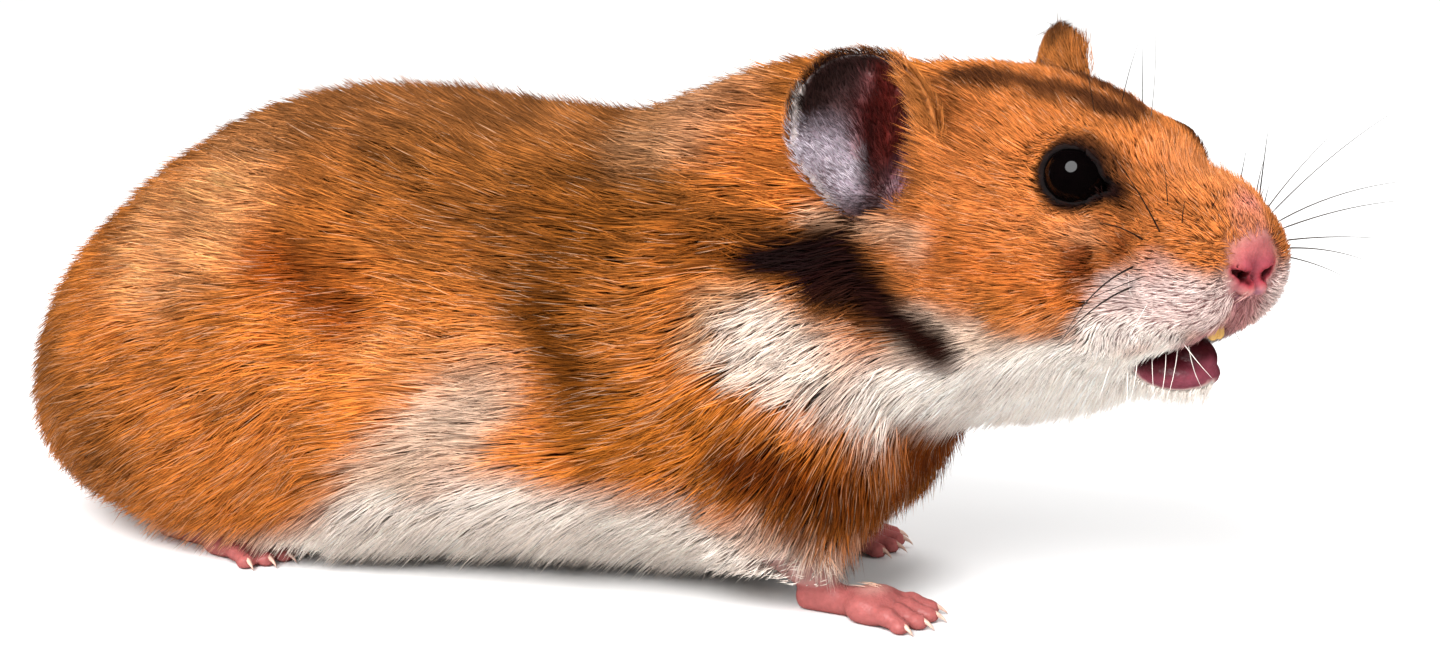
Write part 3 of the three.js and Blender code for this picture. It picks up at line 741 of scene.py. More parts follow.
# %% Patches of the body, seen from the side
# colour, strength, blur, radius, then a path of (x, z) places
BODY_ORANGE = linear("#e0853a")
SIDE_PATCHES = [
    ("#9d6437", 0.85, 12, 11, [(-60, 58), (-20, 60), (-2, 60)]),  # brown along the spine
    ("#8f5622", 0.60, 9, 4.5, [(-34, 48), (-14, 48), (2, 48.5)]),  # and down the upper flank
    ("#7c4410", 0.80, 8, 5.0, [(-16, 42), (-8, 42.5)]),  # brown behind the shoulder
    ("#6b380a", 0.95, 7, 4.4, [(-14, 35), (-11, 29), (-6.5, 23.5)]),  # and down the ribs
    ("#a5622c", 0.55, 8, 5, [(-32, 43), (-20, 39.5)]),  # tan on the loin
    ("#a5622c", 0.55, 6, 3, [(-5, 33.5), (-2, 32)]),  # and behind the crescent
    ("#dba274", 0.70, 5, 2.6, [(-8, 52), (2, 54.5)]),  # lighter over the ribs
    ("#ffb070", 0.95, 9, 6.8, [(-66, 37), (-56, 43)]),  # golden hip
    ("#98430c", 0.85, 7, 3.4, [(-47, 37.5), (-41, 35.5), (-36, 32.5)]),  # hot spot on the flank
    ("#f6b07e", 0.90, 6, 3.2, [(0, 55.5), (6, 55)]),  # light patch on the shoulder
    ("#e5843a", 0.90, 7, 5.0, [(7, 52.5), (15, 48.5)]),  # orange behind the ear
    ("#ecc2a2", 0.75, 3.5, 1.8, [(16, 45.2), (22, 44.2), (29, 43.8)]),  # pale below the ear
    ("#dc9458", 0.60, 7, 3, [(-32, 28), (-20, 29)]),  # light middle of the flank
    ("#dcc0aa", 0.90, 7, 4.6, [(-36, 8), (-28, 16), (-21, 23)]),  # pale flank, up from the belly
    ("#d27a2a", 0.85, 7, 6, [(-2, 19), (8, 20)]),  # orange chest side
    ("#7a3500", 0.95, 5, 4.6, [(12, 17), (20, 14), (28, 15)]),  # brown breast
    ("#703a0c", 0.60, 5, 2.5, [(14, 11), (24, 10)]),  # and down to the arm
    ("#e8b489", 0.90, 5, 4.6, [(8.5, 33), (14, 31)]),  # peach end of the crescent
    ("#e9d5c7", 1.00, 4.5, 4.5, [(12, 31.6), (15, 30.5), (19, 28.5), (25, 26), (36, 25)]),
    ("#ece0d6", 1.00, 6, 5.5, [(34, 24), (46, 27)]),  # throat
    ("#8a4812", 0.85, 6, 3.0, [(2, 43), (9, 42)]),  # the flash fades backwards
    ("#220a02", 1.00, 3.5, 2.6, [(10, 41), (17.5, 40.5)]),  # the flash: its tail,
    ("#220a02", 1.00, 3.5, 4.2, [(19, 39.6), (23, 37.6), (26, 35.6)]),  # its middle
    ("#220a02", 1.00, 3.5, 2.4, [(27, 35), (32, 32.2)]),  # and its point
    ("#8e5424", 0.65, 10, 7, [(-86, 22), (-72, 12)]),  # rump underside
]
BELLY_CREAM = linear("#eee0d5")
THROAT_CREAM = linear("#ece0d6")
# where the orange ends and the cream of the belly begins
BELLY_LINE = [(-62, 1), (-50, 2.5), (-44, 5), (-38, 10), (-24, 14), (-5, 13), (7, 11), (15, 8.5), (22, 5)]


def lay_patches(places, ground, patches):
    """Lay soft patches, in order, over a ground colour."""
    colour = np.tile(ground, (len(places), 1))
    for paint, strength, blur, radius, path in patches:
        share = strength * near_path(places, path, radius, blur)
        colour += share[:, None] * (linear(paint) - colour)
    return colour


def body_colour(points):
    wander = 1.5 * np.stack([cloud(points, 5), 0 * points[:, 0], cloud(points, 5, 9.3)], 1)
    colour = lay_patches((points + wander)[:, [0, 2]], BODY_ORANGE, SIDE_PATCHES)
    above = points[:, 2] - np.interp(points[:, 0], *np.transpose(BELLY_LINE))
    belly = 1 - ramp(above + 1.6 * cloud(points, 4, 3.1), -3, 3)
    colour += belly[:, None] * (BELLY_CREAM - colour)
    throat = ramp(points[:, 0], 27, 31) * (1 - ramp(points[:, 2], 27, 31))
    colour += throat[:, None] * (THROAT_CREAM - colour)
    return colour


print("body:", len(SIDE_PATCHES), "patches")


# %% Patches of the head, in its own frame
HEAD_ORANGE = linear("#d47e40")
HEAD_PATCHES = [
    ("#361c12", 0.92, 3.5, 2.7, [(-20, 6, 9.8), (-12, 5, 9.8), (-5, 3.2, 9.1), (1, 1.5, 7.6)]),
    ("#dc8c56", 0.70, 5, 3.6, [(7, 0, 2), (14, 0, -1)]),  # bridge
    ("#d9877a", 0.85, 3, 2.4, [(15.5, 0, -2.4), (18, 0, -5)]),  # where it meets the nose
    ("#e2a273", 0.80, 4, 1.6, [(-4, 12, -6), (3, 10, -5.5)]),  # below the eye
    ("#cd6d29", 0.90, 5, 3.4, [(-14, 14, -9), (-2, 13, -11), (2, 11, -14)]),  # cheek stripe
    ("#6a2608", 0.85, 3, 1.8, [(4, 12.2, -9.4), (4.6, 11.8, -7), (7, 10.2, -6)]),  # smudge before it
    ("#4c2416", 0.70, 3, 1.3, [(-1, 9.5, 4.4), (2.1, 8, 4.4), (5.3, 6.9, 2), (6.8, 7.2, -1.5)]),  # brow
    ("#e8cbb5", 0.95, 3.5, 3.6, [(-15, 18, -19), (-3, 15.5, -19), (6, 10.5, -18)]),  # jaw's edge
    ("#f4e9e0", 1.00, 5, 7.5, [(-20, 6, -27), (-8, 4, -25), (10, 0, -21)]),  # jaw and chin
    ("#f4e9e0", 1.00, 5, 5.5, [(-17, 18, -28), (-11, 13, -27), (-4, 12, -24), (3, 9, -21)]),
    ("#d07c3a", 0.90, 3.5, 2.3, [(-4, 16, -13.8), (0, 14.5, -15.6), (4, 12, -15.8)]),  # low cheek
    ("#e9bd9c", 0.75, 4, 2.2, [(-24, 21, -7.5), (-15, 17.5, -8.5)]),  # pale behind the ear
    ("#ead3cd", 0.95, 3, 4.2, [(9, 9.5, -12.6), (13, 8.5, -11.0), (16.2, 5.5, -11.4)]),  # whisker pad
    ("#d08a78", 0.55, 3, 1.7, [(12, 8, -8), (16, 5.5, -8)]),  # pink where it meets the nose
    ("#f0e2da", 0.95, 3, 2.4, [(5, 10, -16), (12, 6, -15.5)]),  # fringe of the upper lip
    ("#c98f8f", 0.95, 2.5, 2.4, [(18, 0, -11.5), (15.5, 1, -14), (13, 2, -15.5)]),  # below the nose
]
EYE_RING = linear("#22100a")


def head_colour(head):
    pair = folded(head)
    wander = 0.7 * np.stack([cloud(head, 2.5), cloud(head, 2.5, 5.1), cloud(head, 2.5, 9.3)], 1)
    colour = lay_patches(pair + wander, HEAD_ORANGE, HEAD_PATCHES)
    lid = lid_opening(pair.astype(np.float32))
    above = 1 + 0.5 * ramp(pair[:, 2], -1, 3) * ramp(pair[:, 0], -4, 2)
    on_lid = (pair[:, 1] > 5) * ramp(-np.abs(pair[:, 0] - 0.5), -12, -6)
    ring = (1 - ramp(lid, 0.5, 1.9 * above)) * on_lid
    colour += ring[:, None] * (EYE_RING - colour)
    return colour


print("head:", len(HEAD_PATCHES), "patches")


# %% Skin and hair of the ears
EAR_PATCHES = [
    ("#21110e", 0.92, 0.5, 0.38, [(-0.5, 0.95), (0.3, 0.9), (0.8, 0.5)]),  # dark upper rim
    ("#a999a5", 0.85, 0.5, 0.24, [(0.85, 0.05), (0.45, 0.05), (0.45, -0.4)]),  # silver rear
    ("#8c5658", 0.80, 0.22, 0.07, [(-0.25, 0.6), (0.2, -0.1)]),  # ridge
    # The next two marks, the darkest inside the ear, along its ridges: painted shade in the folds of the
    # dish.
    ("#380806", 0.95, 0.3, 0.18, [(-0.1, 0.3), (0.15, -0.5)]),  # deep behind the ridge
    ("#4e120c", 0.95, 0.3, 0.24, [(-0.45, 0.5), (-0.25, -0.25)]),
    ("#80505c", 0.85, 0.3, 0.16, [(-0.35, -0.5), (-0.2, -0.7)]),  # lilac below the canal
    ("#2a1b1c", 0.80, 0.25, 0.12, [(0.35, -0.8), (0.05, -1.0)]),  # dark lower rim
    ("#d9cbc4", 0.85, 0.08, 0.02, [(0.55, 0.83), (1.0, 0.1), (0.75, -0.66)]),  # pale edge
]
EAR_SKIN = linear("#5a3c3c")
EAR_SILVER = linear("#d2c6cf")
EAR_BACK = linear("#c4783c")
EAR_BACK_DARK = linear("#4c2c1a")


def ear_paint(head, rear, tall):
    """Colour of the ear's skin inside, of the hair inside and of its back."""
    places = np.stack([rear, tall], 1)
    tone = lay_patches(places, EAR_SKIN, EAR_PATCHES)
    silver = near_path(places, [(0.9, 0.1), (0.5, -0.3)], 0.3, 0.4)[:, None]
    strands = tone * 0.75 + silver * (EAR_SILVER - tone * 0.75) * 0.85
    dark = ramp(tall + 0.3 * cloud(head, 2.0), 0.5, 1.1)[:, None]
    return tone, strands, EAR_BACK + dark * (EAR_BACK_DARK - EAR_BACK)


def ear_skin(head):
    """Share of ear at each point, its skin, its hair's colour, way and reach."""
    share = np.zeros(len(head))
    skin, hair, way = np.zeros((3, len(head), 3))
    reach = np.zeros(len(head))
    for ear in EARS:
        ring, rear, tall, height, _ = ear_height(head, ear)
        on_ear = (1 - ramp(np.abs(height), 1.2, 2.0)) * (1 - ramp(ring, 1.05, 1.2))
        on_ear = on_ear * ramp(tall, -1.0, -0.8)
        front = ramp(height, -0.2, 0.2) * (1 - ramp(-rear, 0.62, 0.84))
        keep = front[:, None]
        tone, strands, back = ear_paint(head, rear, tall)
        up, side, _ = ear_frame(ear)
        radial = (tall + 0.9)[:, None] * up + (rear * ear["rear"])[:, None] * side
        swept = up + 0.6 * ear["rear"] * side
        chosen = on_ear > share
        share = np.where(chosen, on_ear, share)
        # Behind the ear the skin is 0.6 of the hair's colour: painted shade under the hair.
        skin[chosen] = (tone * keep + (1 - keep) * back * 0.6)[chosen]
        hair[chosen] = (strands * keep + (1 - keep) * back)[chosen]
        way[chosen] = unit(radial * keep + swept * (1 - keep))[chosen]
        reach[chosen] = (1.5 + 1.0 * (1 - front) + 1.3 * ramp(-rear, 0.55, 0.9))[chosen]
    return share, skin, hair, way, reach


print("ear:", len(EAR_PATCHES), "patches")


# %% Bare skin of the nose, mouth and lips
NOSE_PINK = linear("#92404a")
NOSE_PALE = linear("#c4766c")
NOSTRIL_EDGE = linear("#97343e")
NOSTRIL_SHADE = linear("#3c070a")
GROOVE_MAUVE = linear("#94606c")
MOUTH_MAUVE = linear("#6f323e")
MOUTH_TOP_SHADE = linear("#3a0d14")
LIP_CORNER = linear("#c98078")
LIP_PINK = linear("#c9837a")
PAD_PINK = linear("#b8707e")


def nose_and_lips(head, pair):
    """Layers of bare skin on the muzzle, each a share at every point and a colour; the nostrils and the
    top of the mouth carry painted shade.
    """
    nose = ball(head, (16.9, 0, -7.3), (2.9, 3.2, 2.8))
    ahead = head[:, 0] > 14
    hollow = nostril_gap(pair)
    groove = pair[:, 1] + 3 * ramp(head[:, 2], -10.0, -9.4) + 0.25 * np.maximum(15 - head[:, 0], 0)
    groove = (1 - ramp(groove, 0.5, 1.4)) * (1 - ramp(np.abs(head[:, 2] + 12), 1.8, 2.8))
    place = mouth_place(head)
    mouth = 1 - ramp(ball(place, (0, 0, -0.4), (6.8, 5.6, 3.0)), 0.0, 0.5)
    corner = np.linalg.norm(pair - [5.5, 6.6, -15.4], axis=1)
    return [
        ((1 - ramp(nose, -0.2, 2.2)) * ramp(head[:, 0], 13.0, 15.6), NOSE_PINK),
        ((1 - ramp(nose, 0.0, 1.0)) * ramp(head[:, 2], -7.4, -5.4) * 0.35, NOSE_PALE),
        ((1 - ramp(hollow, 0.2, 0.8)) * ahead, NOSTRIL_EDGE),
        # Inside the nostrils the skin is painted near black: painted shade in the hollows.
        ((1 - ramp(hollow, 0.0, 0.25)) * ahead, NOSTRIL_SHADE),
        (groove * (head[:, 0] > 13), GROOVE_MAUVE),
        (mouth, MOUTH_MAUVE),
        # The top of the mouth, under the upper lip, is painted darker: painted shade.
        (mouth * ramp(place[:, 2], -1.8, -0.4), MOUTH_TOP_SHADE),
        (0.75 * (1 - ramp(corner, 1.0, 2.4)), LIP_CORNER),
        (0.8 * near_path(pair, [(8.2, 8.7, -16.8), (9.6, 8.0, -16.2)], 1.3, 1.4), LIP_PINK),
        (0.42 * near_path(pair, [(9, 9, -13), (13, 7, -12), (16, 4, -12)], 3.2, 3.5), PAD_PINK),
    ]


head_middle = np.zeros((1, 3))
print("muzzle:", len(nose_and_lips(head_middle, head_middle)), "layers of bare skin")


# %% Bare skin of the lids, ears, feet and tail
EYE_BLACK = linear("#0b0505")
WRIST_PINK = linear("#74403c")
FOOT_PINK = linear("#9a5552")
TAIL_PINK = linear("#dba193")


def lids_and_ears(head, pair):
    lid = lid_opening(pair)
    ear, tone = ear_skin(head)[:2]
    by_eye = (pair[:, 1] > 5) * (np.abs(pair[:, 0]) < 6)
    return [((1 - ramp(lid, 0.25, 0.55)) * by_eye, EYE_BLACK), (ear, tone)]


def feet_near(points):
    """1 over the feet, as seen from above, and 0 beyond them."""
    near = np.zeros(len(points))
    for at, yaw, foot in FEET:
        away = points[:, :2] - at[:2]
        x, y = turned(-yaw, away[:, 0], away[:, 1])
        inside = np.maximum(np.abs(x - 1) / (foot["length"] * 0.75), np.abs(y) / (foot["width"] * 0.85))
        near = np.maximum(near, 1 - ramp(inside, 0.9, 1.1))
    return near


def limbs_and_tail(points):
    low = 1 - ramp(points[:, 2], 8, 11)
    layers = []
    for _, elbow, wrist in ARMS:
        away = limb(points.astype(np.float32), elbow, wrist, ELBOW_RADIUS, WRIST_RADIUS)
        layers.append((0.75 * (1 - ramp(away, 0.2, 1.2)) * low, WRIST_PINK))
    layers.append(((1 - ramp(points[:, 2], 3.0, 5.0)) * feet_near(points), FOOT_PINK))
    tail = limb(points.astype(np.float32), *TAIL)
    layers.append(((1 - ramp(tail, 0.3, 1.2)) * (1 - ramp(points[:, 0], -85, -84)), TAIL_PINK))
    return layers


print("on the near fore foot's toes:", feet_near(np.array([[29.0, -14, 0.8]])).round(2))


# %% How bare each place is
SKIN_PINK = linear("#e7a79c")


def bare_parts(points, head):
    """How bare each point is, and the colour of its skin."""
    pair = folded(head).astype(np.float32)
    bare = np.zeros(len(points))
    skin = np.tile(SKIN_PINK, (len(points), 1))
    by_eye = 1 - ramp(np.linalg.norm(pair - EYE_AT, axis=1), 6, 8)
    skin += by_eye[:, None] * (EYE_BLACK - skin)
    layers = nose_and_lips(head, pair) + limbs_and_tail(points) + lids_and_ears(head, pair)
    for share, colour in layers:
        bare = np.maximum(bare, share)
        skin += share[:, None] * (colour - skin)
    return bare, skin


places = np.array([[-20.0, 0, 52], from_head([18.5, 0, -6])])
back_and_nose, _ = bare_parts(places, to_head(places).astype(float))
print("bare on the back and at the nose:", back_and_nose.round(2))


# %% All markings at once
FLASH_BROWN = linear("#2b1207")


def markings(points):
    """Coat colour with painted streaks of shade, bare share and bare-skin colour at any points."""
    head = to_head(points).astype(float)
    share = ramp(head[:, 0] + 0.15 * head[:, 2], -27, -19)
    share = share * ramp(points[:, 0], 16, 26)
    coat = body_colour(points)
    coat += share[:, None] * (head_colour(head) - coat)
    dark_flash = near_path(points[:, [0, 2]], [(21, 39), (26, 35.6), (32, 32.2)], 2.6, 3.5)
    dark_flash = dark_flash * ramp(-head[:, 0], 6, 10)
    coat += dark_flash[:, None] * (FLASH_BROWN - coat)
    bare, skin = bare_parts(points, head)
    mottle_and_streak_shade = 1 + 0.11 * cloud(points, 2.2) + 0.10 * cloud(points, 0.9, 4.4)
    mottle_and_streak_shade += 0.16 * cloud(points * [0.6, 1, 0.8], 4.0, 6.1) * (1 - share) * ramp(points[:, 2], 8, 20)
    # Stretched darker streaks over the flanks and back: painted shade between the locks of fur.
    painted_streak_shade = ramp(cloud(points * [0.35, 1, 0.6], 2.2, 2.7), 0.0, 0.6)
    painted_streak_shade = painted_streak_shade * (0.5 * ramp(points[:, 2], 14, 26) + 0.5 * ramp(points[:, 2], 28, 46))
    mottle_and_streak_shade -= 0.34 * painted_streak_shade * (1 - share)
    return np.clip(coat * mottle_and_streak_shade[:, None], 0.004, 1), bare, skin


sample = np.array([[18.0, -20, 41], [10, -24, 32], [-20, -11, 54], [66, -18, 45]])
print("flash, crescent, back, nose:", (markings(sample)[0] ** 0.4545 * 255).astype(int).tolist())

# %% [markdown]
# ## Finishes
# Hair scatters light and has hardly any shine at this size, while a nose, a lip or an eye
# is wet and sharp. Each finish is a small node tree on the Principled shader. The markings
# come in as a point colour, and noise at the scale of the real surface breaks it up.

# %% Helpers for shader nodes
def new_finish(name, roughness, specular, **fixed):
    """A material, its node tree and its shader, with fixed values on the shader's sockets."""
    material = bpy.data.materials.new(name)
    material.use_nodes = True
    shader = material.node_tree.nodes["Principled BSDF"]
    shader.inputs["Roughness"].default_value = roughness
    shader.inputs["Specular IOR Level"].default_value = specular
    for key, value in fixed.items():
        shader.inputs[key.replace("_", " ")].default_value = value
    return material, material.node_tree, shader


def add_node(tree, kind, links=(), **settings):
    """Add a node, set its sockets or settings, and link (output, input name) pairs into it."""
    node = tree.nodes.new(kind)
    for key, value in settings.items():
        if key in node.inputs:
            node.inputs[key].default_value = value
        else:
            setattr(node, key, value)
    for source, target in links:
        tree.links.new(source, node.inputs[target])
    return node


def noise_at(tree, scale, detail=2.0):
    """Noise that stays with the object, with `scale` blotches to a metre."""
    place = add_node(tree, "ShaderNodeTexCoord").outputs["Object"]
    noise = add_node(tree, "ShaderNodeTexNoise", [(place, "Vector")], Scale=scale, Detail=detail)
    return noise.outputs["Fac"]


def two_tone(tree, shader, noise, first, second):
    """Let noise blend two colours into the shader's base colour."""
    tint = add_node(tree, "ShaderNodeValToRGB", [(noise, "Fac")])
    tint.color_ramp.elements[0].color = (*first, 1)
    tint.color_ramp.elements[1].color = (*second, 1)
    tree.links.new(tint.outputs["Color"], shader.inputs["Base Color"])


def speckle(tree, colour, scale, dark, light):
    """Multiply a colour by noise between `dark` and `light`."""
    band = add_node(tree, "ShaderNodeMapRange", [(noise_at(tree, scale, 4.0), "Value")])
    band.inputs["From Min"].default_value = 0.3
    band.inputs["From Max"].default_value = 0.7
    band.inputs["To Min"].default_value = dark
    band.inputs["To Max"].default_value = light
    mix = add_node(tree, "ShaderNodeVectorMath", [(colour, 0), (band.outputs[0], 1)])
    mix.operation = "MULTIPLY"
    return mix.outputs["Vector"]


def bump(tree, shader, height, strength, distance):
    node = add_node(tree, "ShaderNodeBump", [(height, "Height")], Strength=strength)
    node.inputs["Distance"].default_value = distance
    tree.links.new(node.outputs["Normal"], shader.inputs["Normal"])


print("helpers ready; materials so far:", len(bpy.data.materials))


# %% The skin's finish
def skin_finish():
    material, tree, shader = new_finish("hamster_skin", 0.5, 0.2)
    paint = add_node(tree, "ShaderNodeAttribute", attribute_name="markings").outputs["Color"]
    wet = add_node(tree, "ShaderNodeAttribute", attribute_name="bare").outputs["Fac"]
    tree.links.new(speckle(tree, paint, 1500, 0.86, 1.1), shader.inputs["Base Color"])
    gloss = add_node(tree, "ShaderNodeMapRange", [(wet, "Value")])
    gloss.inputs["To Min"].default_value = 0.9
    gloss.inputs["To Max"].default_value = 0.38
    tree.links.new(gloss.outputs[0], shader.inputs["Roughness"])
    place = add_node(tree, "ShaderNodeTexCoord").outputs["Object"]
    grain = add_node(tree, "ShaderNodeTexVoronoi", [(place, "Vector")], Scale=3200.0)
    bump(tree, shader, grain.outputs["Distance"], 0.35, 0.00012)
    shader.inputs["Subsurface Weight"].default_value = 0.12
    shader.inputs["Subsurface Radius"].default_value = (0.0012, 0.0004, 0.0003)
    shader.inputs["Subsurface Scale"].default_value = 1.0
    return material


def hair_finish():
    material, tree, shader = new_finish("hamster_coat", 0.62, 0.04)
    paint = add_node(tree, "ShaderNodeAttribute", attribute_name="markings").outputs["Color"]
    tree.links.new(speckle(tree, paint, 900, 0.9, 1.08), shader.inputs["Base Color"])
    return material


SKIN = skin_finish()
HAIR = hair_finish()
print("finishes:", SKIN.name, HAIR.name)

# %% [markdown]
# ## The skin, one piece from nose to tail
# No seam may show where two solids meet, so one skin stands for all of them. It lies inside
# them by the depth of the coat. It is unwrapped by its own slopes into islands; the coat will
# borrow each tuft's place on this map.

# %% Make, colour and unwrap the skin
# The skin under the coat is painted as a darker copy of the coat's colour, darker still under bright
# hair: painted shade deep in the coat, over the darker tone of the undercoat.
SHADED_UNDERCOAT = 0.55  # the skin between hairs is this much darker than they are
skin_coat, skin_bare, skin_tone = markings(skin_points)
shade_under_coat = skin_coat * SHADED_UNDERCOAT * (1 - 0.25 * (skin_coat.max(1, keepdims=True) > 0.6))
skin_paint = shade_under_coat + skin_bare[:, None] * (skin_tone - shade_under_coat)
skin_pair = folded(to_head(skin_points)).astype(np.float32)
skin_wet = skin_bare * ramp(np.linalg.norm(skin_pair - EYE_AT, axis=1), 5.5, 7)
skin = make_mesh("skin", skin_points, skin_faces, SKIN,
                 {"markings": skin_paint, "bare": np.repeat(skin_wet[:, None], 3, 1)})
FLESH = ["hindquarters", "abdomen", "chest", "tail", "neck", "head", "lower_jaw", "nose",
         "ear_right", "ear_left", "fore_leg_right", "fore_leg_left", "fore_foot_right",
         "fore_foot_left", "thigh_right", "thigh_left", "hind_foot_right", "hind_foot_left"]
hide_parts(*FLESH)


def unwrap(piece):
    """Lay the piece's faces out flat on OFBake, and hand back each corner's place there."""
    layer = piece.data.uv_layers.new(name="OFBake")
    piece.data.uv_layers.active = layer
    bpy.context.view_layer.objects.active = piece
    piece.select_set(True)
    bpy.ops.object.mode_set(mode="EDIT")
    bpy.ops.mesh.select_all(action="SELECT")
    bpy.ops.uv.smart_project(angle_limit=math.radians(66), island_margin=0.002)
    bpy.ops.object.mode_set(mode="OBJECT")
    piece.select_set(False)
    flat = np.empty(len(piece.data.loops) * 2, np.float32)
    piece.data.uv_layers["OFBake"].data.foreach_get("uv", flat)
    return flat.reshape(-1, 4, 2)


skin_map = unwrap(skin)
print("skin:", len(skin_faces) * 2, "triangles, map", skin_map.min().round(3), skin_map.max().round(3))

# %% [markdown]
# ## Eyes
# A hamster's eye is a nearly black, bulging ball, all pupil and dark iris, and very wet. A
# turned ball with a cornea that stands slightly proud catches one clean highlight, which is
# what makes the animal look alive. The lids are already part of the skin.

# %% Turn the eyeballs
def turned_ball(centre, axes, radius, cornea, rings=40, spokes=56):
    """A ball turned about its third axis, with a cornea that stands proud in front."""
    points = []
    for ring in range(1, rings):
        angle = math.pi * ring / rings
        proud = radius * (1 + cornea * math.exp(-(angle / 0.75) ** 4))
        for spoke in range(spokes):
            turn = 2 * math.pi * spoke / spokes
            across = proud * math.sin(angle)
            place = [across * math.cos(turn), across * math.sin(turn), proud * math.cos(angle)]
            points.append(np.asarray(place) @ axes + centre)
    front = axes[2] * radius * (1 + cornea) + centre
    back = -axes[2] * radius + centre
    faces = []
    for ring in range(rings - 2):
        for spoke in range(spokes):
            after = (spoke + 1) % spokes
            a, b = ring * spokes + spoke, ring * spokes + after
            faces.append((a, a + spokes, b + spokes))
            faces.append((a, b + spokes, b))
    last = (rings - 2) * spokes
    for spoke in range(spokes):
        after = (spoke + 1) % spokes
        faces.append((len(points), spoke, after))
        faces.append((len(points) + 1, last + after, last + spoke))
    return np.array(points + [front, back]), np.array(faces)


CORNEA_PROUD = 0.02
IRIS_BLACK = (0.0003, 0.0003, 0.0004)
IRIS_BROWN = (0.0018, 0.0010, 0.0010)


def eye_finish():
    material, tree, shader = new_finish("eye_wet_black", 0.05, 0.9, IOR=1.17)
    two_tone(tree, shader, noise_at(tree, 700.0, 3.0), IRIS_BLACK, IRIS_BROWN)
    return material


EYE = eye_finish()
for side, node in ((-1, "eye_right"), (1, "eye_left")):
    flip = np.array([1, side, 1])
    axes = (eye_frame() * flip) @ HEAD_AXES
    points, faces = turned_ball(from_head(EYE_AT * flip), axes, EYE_RADIUS, CORNEA_PROUD)
    if side < 0:
        faces = faces[:, ::-1]
    piece = make_mesh("eyeball_" + node[4:], points, faces, EYE)
    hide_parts(node)
    print(piece.name, len(faces), "triangles")

# %% [markdown]
# ## Claws and teeth
# The claws are short, thin, pale cones that curve down from the tips of the toes. A hamster's
# upper incisors are stained yellow-orange, and here only their edge shows behind the lip.

# %% Bent, tapering tubes
def tube(path, radii, spokes=6):
    """A closed tube along points, with a radius for each; its ends close to a point."""
    path = np.asarray(path, float)
    way = unit(np.gradient(path, axis=0))
    side = unit(np.cross(way, [0.13, 0.31, 0.94]))
    up = np.cross(side, way)
    turns = 2 * np.pi * np.arange(spokes) / spokes
    rings = path[1:-1, None] + np.asarray(radii)[1:-1, None, None] * (
        np.cos(turns)[None, :, None] * side[1:-1, None] + np.sin(turns)[None, :, None] * up[1:-1, None])
    points = np.concatenate([path[:1], rings.reshape(-1, 3), path[-1:]])
    last = len(points) - 1
    faces = []
    for spoke in range(spokes):
        after = (spoke + 1) % spokes
        faces.append((0, 1 + after, 1 + spoke))
        faces.append((last, last - spokes + spoke, last - spokes + after))
        for ring in range(len(path) - 3):
            a, b = 1 + ring * spokes + spoke, 1 + ring * spokes + after
            faces.append((a, b, b + spokes))
            faces.append((a, b + spokes, a + spokes))
    return points, np.array(faces)


def joined(parts):
    """Join (points, faces) parts into one."""
    points, faces, start = [], [], 0
    for p, f in parts:
        points.append(p)
        faces.append(f + start)
        start += len(p)
    return np.concatenate(points), np.concatenate(faces)


def curve(start, middle, end, count):
    """Points on the arc that leaves start towards middle and comes in to end."""
    t = np.linspace(0, 1, count)[:, None]
    start, middle, end = np.array(start), np.array(middle), np.array(end)
    return (1 - t) ** 2 * start + 2 * t * (1 - t) * middle + t ** 2 * end


print("middle of an arc:", curve((0, 0, 0), (1, 0, 1), (2, 0, 0), 3)[1])

# %% Claws
def claw_finish():
    material, tree, shader = new_finish("claw_horn", 0.3, 0.5)
    two_tone(tree, shader, noise_at(tree, 1800.0), linear("#b98a78"), linear("#dcbfae"))
    return material


CLAW_LENGTH = 1.9
CLAW_RADII = [0.25, 0.36, 0.34, 0.28, 0.2, 0.12, 0.03]
claw_parts = []
for at, yaw, foot in FEET:
    for number in range(foot["toes"]):
        _, knuckle, tip = (np.array(p) for p in toe_points(at, yaw, foot, number))
        ahead = unit(tip - knuckle)
        root = tip + [0, 0, 0.35] - ahead * 0.3
        arch = tip + ahead * 1.4 + [0, 0, 0.75]
        end = np.array([*(tip + ahead * (CLAW_LENGTH + 0.3))[:2], 0.12])
        claw_parts.append(tube(curve(root, arch, end, len(CLAW_RADII)), CLAW_RADII))
claws = make_mesh("claws", *joined(claw_parts), claw_finish())
print("claws:", len(claw_parts))


# %% Teeth
def tooth_finish():
    material, tree, shader = new_finish("tooth_enamel", 0.22, 0.5, Coat_Weight=0.4, Coat_Roughness=0.1)
    two_tone(tree, shader, noise_at(tree, 900.0), linear("#b8843a"), linear("#dcb878"))
    return material


TOOTH = tooth_finish()
for slot in bpy.data.objects["upper_incisors"].material_slots:
    slot.material = TOOTH
print("teeth keep their solid, with enamel")

# %% [markdown]
# ## How the coat lies
# Fur is not random: it grows away from the nose, over the forehead and cheeks, back along
# the flanks, and down over the chest, haunch and rump. Combing curves by hand is the usual
# way. Here a direction is given for each region and the regions are blended, so every tuft
# knows which way to lie; it is then turned to run along the skin under it.

# %% Directions of the coat
PARTING = [20.0, 0, -8.0]  # just before the nose; the face's hair points away from here
LIP_FRINGE = [(6, 8, -15.5), (13, 5, -14.5)]


